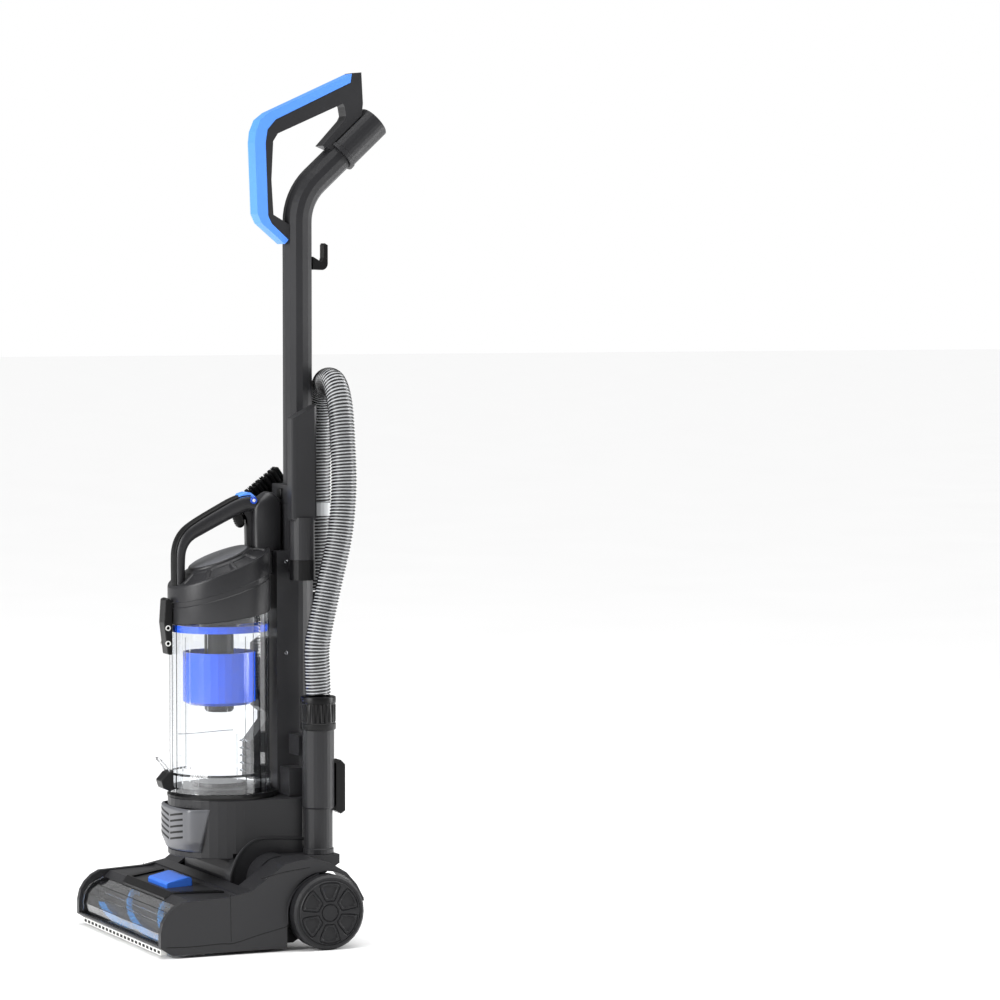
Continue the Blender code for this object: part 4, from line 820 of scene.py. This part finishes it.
TUFTS, STRANDS, CORE_RADIUS = 74, 9, 0.0165
HELIX = math.radians(200) / 0.13       # turn for each metre along the roll
FAN = 90.0                             # lean for each metre off the tuft's middle
x = np.tile(np.linspace(-0.1230, 0.1310, TUFTS), 2)
turn = np.repeat((0.0, math.pi), TUFTS) + HELIX * x + 0.07
x, turn = np.repeat(x, STRANDS), np.repeat(turn, STRANDS)
turn = turn + draw.normal(0, 0.045, turn.size)
radial = np.stack([0 * turn, np.cos(turn), np.sin(turn)], -1)
spread = np.stack([draw.normal(0, 0.0006, x.size), 0 * x, 0 * x], -1)
roots = BRUSH_PLACE + CORE_RADIUS * radial + np.stack([x, 0 * x, 0 * x], -1) + spread
tufts = copies(strand(0.0084, 0.00042, 0.00036), standing(roots, radial + FAN * spread))
mesh_piece("brush_tufts", tufts, "brush", nylon_blue, angle=50)

# %% [markdown]
# The dusting brush has nine bundles of stiff black bristle in a row, with clear gaps
# between them. Each bundle is eighty-four strands that fan out a little.

# %% Dusting brush bristles
BRUSH_TILT, BUNDLES, PER_BUNDLE = math.radians(37), 9, 84
upward = np.array((0.0, -math.sin(BRUSH_TILT), math.cos(BRUSH_TILT)))
lengthways = np.array((0.0, math.cos(BRUSH_TILT), math.sin(BRUSH_TILT)))
NECK = at(-0.056, 0.005, 0.560)
middle = np.repeat(np.linspace(-0.0172, 0.0372, BUNDLES), PER_BUNDLE)
a, b = draw.uniform(-1, 1, middle.size), draw.uniform(-1, 1, middle.size)
roots = (NECK + (middle + 0.0017 * a)[:, None] * lengthways + 0.0062 * upward
         + (0.0100 * b)[:, None] * (1.0, 0.0, 0.0))
lean = upward + (0.030 * a)[:, None] * lengthways + (0.05 * b)[:, None] * (1.0, 0.0, 0.0)
bristles = copies(strand(0.0205, 0.00048, 0.00042), standing(roots, lean))
bristles = mesh_piece("dusting_tufts", bristles, "duster", nylon_black, angle=50)
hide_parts("dusting_bristles")

# %% [markdown]
# Small trims finish the floor head: black studs along the white front guard, and on both
# sides the parting lines of its mouldings and the lip of the wheel's arch. A thin bead
# laid on the surface reads as a seam at this size, and needs no cut in the shell.

# %% Floor head trims
STUDS, STUD_INSET, SIDE = 21, 0.008, 0.1635
low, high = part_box("front_bumper")
stud = slab([(-0.0042, -0.0018), (0.0042, -0.0018), (0.0042, 0.0018), (-0.0042, 0.0018)],
            0.0, 0.0008, 0.0003, axes=(0, 2, 1))
stud_places = [mirror_place(1, (x, low[1] - 0.0004, (low[2] + high[2]) / 2))
               for x in np.linspace(low[0] + STUD_INSET, high[0] - STUD_INSET, STUDS)]
mesh_piece("guard_studs", copies(stud, stud_places), "floor_head", black_rubber_and_hole_shade)


def side_line(points, wide, proud):
    """A bead along points of the right side's plane, as (depth, height) pairs."""
    line = through(np.array([(SIDE, *point) for point in points], float), 8)
    return sweep(line + SHIFT, superellipse(wide, proud, 2.4, 10))


BOTH = [mirror_place(side, (0, 0, 0)) for side in (1, -1)]
seams = merged(side_line([(-0.2140, 0.0150), (-0.1800, 0.0140), (-0.1420, 0.0152), (-0.1230, 0.0150),
                          (-0.0900, 0.0230), (-0.0490, 0.0320)], 0.00055, 0.00022),
               side_line([(-0.0866, 0.0945), (-0.0550, 0.1010), (-0.0202, 0.1050)], 0.00050, 0.00022),
               side_line([(-0.1283, 0.0760), (-0.1278, 0.0500), (-0.1273, 0.0170)], 0.00040, 0.00018))
mesh_piece("head_side_seams", mirrored(seams, BOTH), "floor_head", pp_black)
arch = side_line([(-0.0510, 0.0340), (-0.0500, 0.0560), (-0.0410, 0.0760), (-0.0240, 0.0900),
                  (-0.0080, 0.0965)], 0.0011, 0.0007)
mesh_piece("head_arch_lips", mirrored(arch, BOTH), "floor_head", abs_charcoal)

# %% [markdown]
# The cup has a moulded fill line and an upright rib on its wall, steps on the ramp behind
# it, a wire bail on its latch, and two holes with pale rims on each side of the strap; each
# hole is a black disc of painted shade. All of them are beads and rings small enough to lay
# on the frame's own surfaces.

# %% Cup trims
CUP_WALL, FILL_HEIGHT, RIB_TURN = 0.0652, 0.2700, math.radians(-62)
HAIRLINE = superellipse(0.0005, 0.0003, 2, 8)
turn = np.linspace(math.radians(-75), math.radians(-5), 60)
fill = np.stack([CUP_WALL * np.cos(turn), CUP_WALL * np.sin(turn),
                 FILL_HEIGHT + 0.004 * np.cos(turn * 2)], -1) + CUP_AXIS
fill_line = sweep(fill, HAIRLINE, out=fill - CUP_AXIS - (0, 0, FILL_HEIGHT))
rib_out = np.array((math.cos(RIB_TURN), math.sin(RIB_TURN), 0))
rib = np.linspace((0, 0, 0.222), (0, 0, 0.392), 9) + (CUP_WALL - 0.0001) * rib_out + CUP_AXIS
rib_bead = sweep(rib, HAIRLINE, out=rib_out)
mesh_piece("cup_fill_line", merged(fill_line, rib_bead), "cup", pc_grey)
steps_up = [slab([(-0.0480, z), (-0.0300, z + 0.0060), (-0.0300, z + 0.0075), (-0.0480, z + 0.0015)],
                 -0.0150, 0.0150, 0.0003) for z in np.linspace(0.2110, 0.2500, 5)]
mesh_piece("cup_ramp_ribs", placed(merged(*steps_up)), "cup", pc_grey)

HALF_BAIL = np.array([(0.0085, -0.1490, 0.2120), (0.0088, -0.1580, 0.2250),
                      (0.0075, -0.1650, 0.2330), (0.0, -0.1672, 0.2350)])
bail_route = through(np.vstack([HALF_BAIL * (-1, 1, 1), HALF_BAIL[-2::-1]]), 8) + SHIFT
bail = sweep(bail_route, superellipse(0.0010, 0.0010, 2, 12), out=(0.0, 0.55, -0.83))
mesh_piece("latch_bail", bail, "latch", steel)

eye = lathe([(0.0022, 0.0), (0.0036, 0.0), (0.0036, 0.0006), (0.0033, 0.0009),
             (0.0024, 0.0009), (0.0022, 0.0006)], 28, axis="X")
# The black disc in each hole is painted shade, in place of the dark inside it.
hole_shade = lathe([(0, 0.0), (0.0023, 0.0), (0.0023, 0.0003), (0, 0.0003)], 24, axis="X")
EYES = [mirror_place(side, at(0.0097 * side, -0.1545, z))
        for side in (1, -1) for z in (0.403, 0.383)]
mesh_piece("strap_eyelets", mirrored(eye, EYES), "strap", pp_white)
mesh_piece("strap_eyelet_hole_shade", mirrored(hole_shade, EYES), "strap", black_rubber_and_hole_shade)

# %% [markdown]
# A cuff clamps the hose to the duct. Hands turn it, so the mould gives its middle band
# flutes: the turned profile, with its radius drawn in by a wave round the axis.

# %% Hose cuff
CUFF_STEPS, FLUTES, FLUTE_DEPTH = 144, 24, 0.0011
FLUTED_MIDDLE, FLUTED_REACH, FLUTED_RADIUS = 0.2935, 0.0106, 0.0225
profile = [(0.0175, 0.3150), (0.0214, 0.3150), (0.0226, 0.3142), (0.0230, 0.3128),
           (0.0230, 0.3070), (0.0222, 0.3062), (0.0222, 0.3050), (0.0228, 0.3040),
           (0.0228, 0.2830), (0.0222, 0.2820), (0.0222, 0.2808), (0.0230, 0.2800),
           (0.0230, 0.2732), (0.0224, 0.2722), (0.0175, 0.2720), (0.0175, 0.3150)]
turn = np.arange(CUFF_STEPS) * 2 * math.pi / CUFF_STEPS
r, z = np.array(profile).T[:, :, None]
fluted = (np.abs(z - FLUTED_MIDDLE) < FLUTED_REACH) & (r > FLUTED_RADIUS)
r = r - np.where(fluted, FLUTE_DEPTH * smooth_step(np.cos(turn * FLUTES), -0.2, 0.6), 0.0)
cuff_grid = np.stack([r * np.cos(turn), r * np.sin(turn), z + 0 * turn], -1)
cuff_grid += HOSE_ROUTE[0] * (1, 1, 0) + SHIFT
cuff = mesh_piece("hose_cuff_fluted", skin(cuff_grid), "upright", pp_black,
                  angle=35)
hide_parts("hose_cuff")

# %% [markdown]
# Pan-head screws hold the column's two halves together. One turned head with a dimple in
# its middle is repeated wherever a screw stands.

# %% Screws
COLUMN_SIDE, COLUMN_BACK = 0.0298, 0.0478
screw = lathe([(0, 0), (0.0024, 0), (0.0024, 0.0006), (0.0017, 0.0012), (0.0009, 0.0013),
               (0.0005, 0.0006), (0, 0.0006)], 24)
side_places = [(side * COLUMN_SIDE, 0.0005, z) for side in (1, -1) for z in (0.4860, 0.3670)]
side_screws = standing(side_places + SHIFT, np.sign(side_places) * (1.0, 0.0, 0.0))
mesh_piece("side_screws", copies(screw, side_screws), "upright", screw_steel)
back_places = [(0.0, COLUMN_BACK, z) for z in (0.3000, 0.4600, 0.5300)]
back_screws = standing(back_places + SHIFT, np.tile((0.0, 1.0, 0.0), (3, 1)))
mesh_piece("back_screws", copies(screw, back_screws), "upright", screw_steel)

# %% [markdown]
# The floor is a wide pale sheet. A large soft light stands to the left of the machine
# as the camera sees it, and a narrower one behind to the right for the bright edges. A
# very broad sun overhead gives the faint shadow. The sky is white to the eye, and much
# dimmer as a light, which keeps the dark plastics dark.

# %% Floor, lights and sky
material, tree, out = blank("painted_studio_floor")
place = add(tree, "ShaderNodeTexCoord").outputs["Object"]
stain = add(tree, "ShaderNodeTexNoise", {"Vector": place, "Scale": 3.0, "Detail": 2.0})
rough = add(tree, "ShaderNodeMapRange", {"Value": stain.outputs["Fac"], "To Min": 0.5, "To Max": 0.6})
shader = add(tree, "ShaderNodeBsdfPrincipled", {"Base Color": hex_colour("#f4f4f4"),
                                                "Roughness": rough.outputs["Result"]})
tree.links.new(shader.outputs["BSDF"], out.inputs["Surface"])
SPREAD = 40.0       # metres each way
corners = np.array([(-1, -1, 0), (1, -1, 0), (1, 1, 0), (-1, 1, 0)]) * SPREAD
floor_mesh = bpy.data.meshes.new("studio_floor")
floor_mesh.from_pydata(corners.tolist(), [], [(0, 1, 2, 3)])
floor_mesh.materials.append(material)
floor = bpy.data.objects.new("studio_floor", floor_mesh)
bpy.context.scene.collection.objects.link(floor)


def soft_light(name, place, aim, size, power):
    """A rectangular lamp at place, facing aim."""
    data = bpy.data.lights.new(name, "AREA")
    data.shape, data.size, data.size_y, data.energy = "RECTANGLE", size[0], size[1], power
    lamp = bpy.data.objects.new(name, data)
    z = unit(np.array(place) - aim)
    x = unit(np.cross((0, 0, 1.0), z))
    pose = np.eye(4)
    pose[:3, 0], pose[:3, 1], pose[:3, 2], pose[:3, 3] = x, np.cross(z, x), z, place
    lamp.matrix_world = Matrix(pose.tolist())
    bpy.context.scene.collection.objects.link(lamp)
    print(name, power, "W")


AIM = (0, 0, 0.6)
SKY_AS_LIGHT, SKY_SEEN, SUN_STRENGTH, SUN_SPREAD = 0.26, 1.0, 2.9, math.radians(60)
level = back * (1, 1, 0)
soft_light("left_softbox", level * 1.6 - right * 2.3 + (0, 0, 1.5), AIM, (1.4, 2.2), 95)
soft_light("right_strip", level * -0.3 + right * 2.2 + (0, 0, 1.2), AIM, (0.6, 2.2), 55)
sun = bpy.data.objects.new("high_sun", bpy.data.lights.new("high_sun", "SUN"))
sun.data.energy, sun.data.angle = SUN_STRENGTH, SUN_SPREAD
bpy.context.scene.collection.objects.link(sun)

world = bpy.data.worlds.new("studio_sky")
bpy.context.scene.world = world
world.use_nodes = True
sky = world.node_tree
sky.nodes.clear()
ray = add(sky, "ShaderNodeLightPath")
seen = add(sky, "ShaderNodeMath", {0: ray.outputs["Is Camera Ray"],
                                   1: ray.outputs["Is Transmission Ray"]}, operation="MAXIMUM")
strength = add(sky, "ShaderNodeMapRange", {"Value": seen.outputs[0], "To Min": SKY_AS_LIGHT,
                                           "To Max": SKY_SEEN})
shine = add(sky, "ShaderNodeBackground", {"Color": (1, 1, 1, 1),
                                          "Strength": strength.outputs["Result"]})
add(sky, "ShaderNodeOutputWorld", {"Surface": shine.outputs["Background"]})
bpy.context.scene.view_settings.view_transform = "Standard"
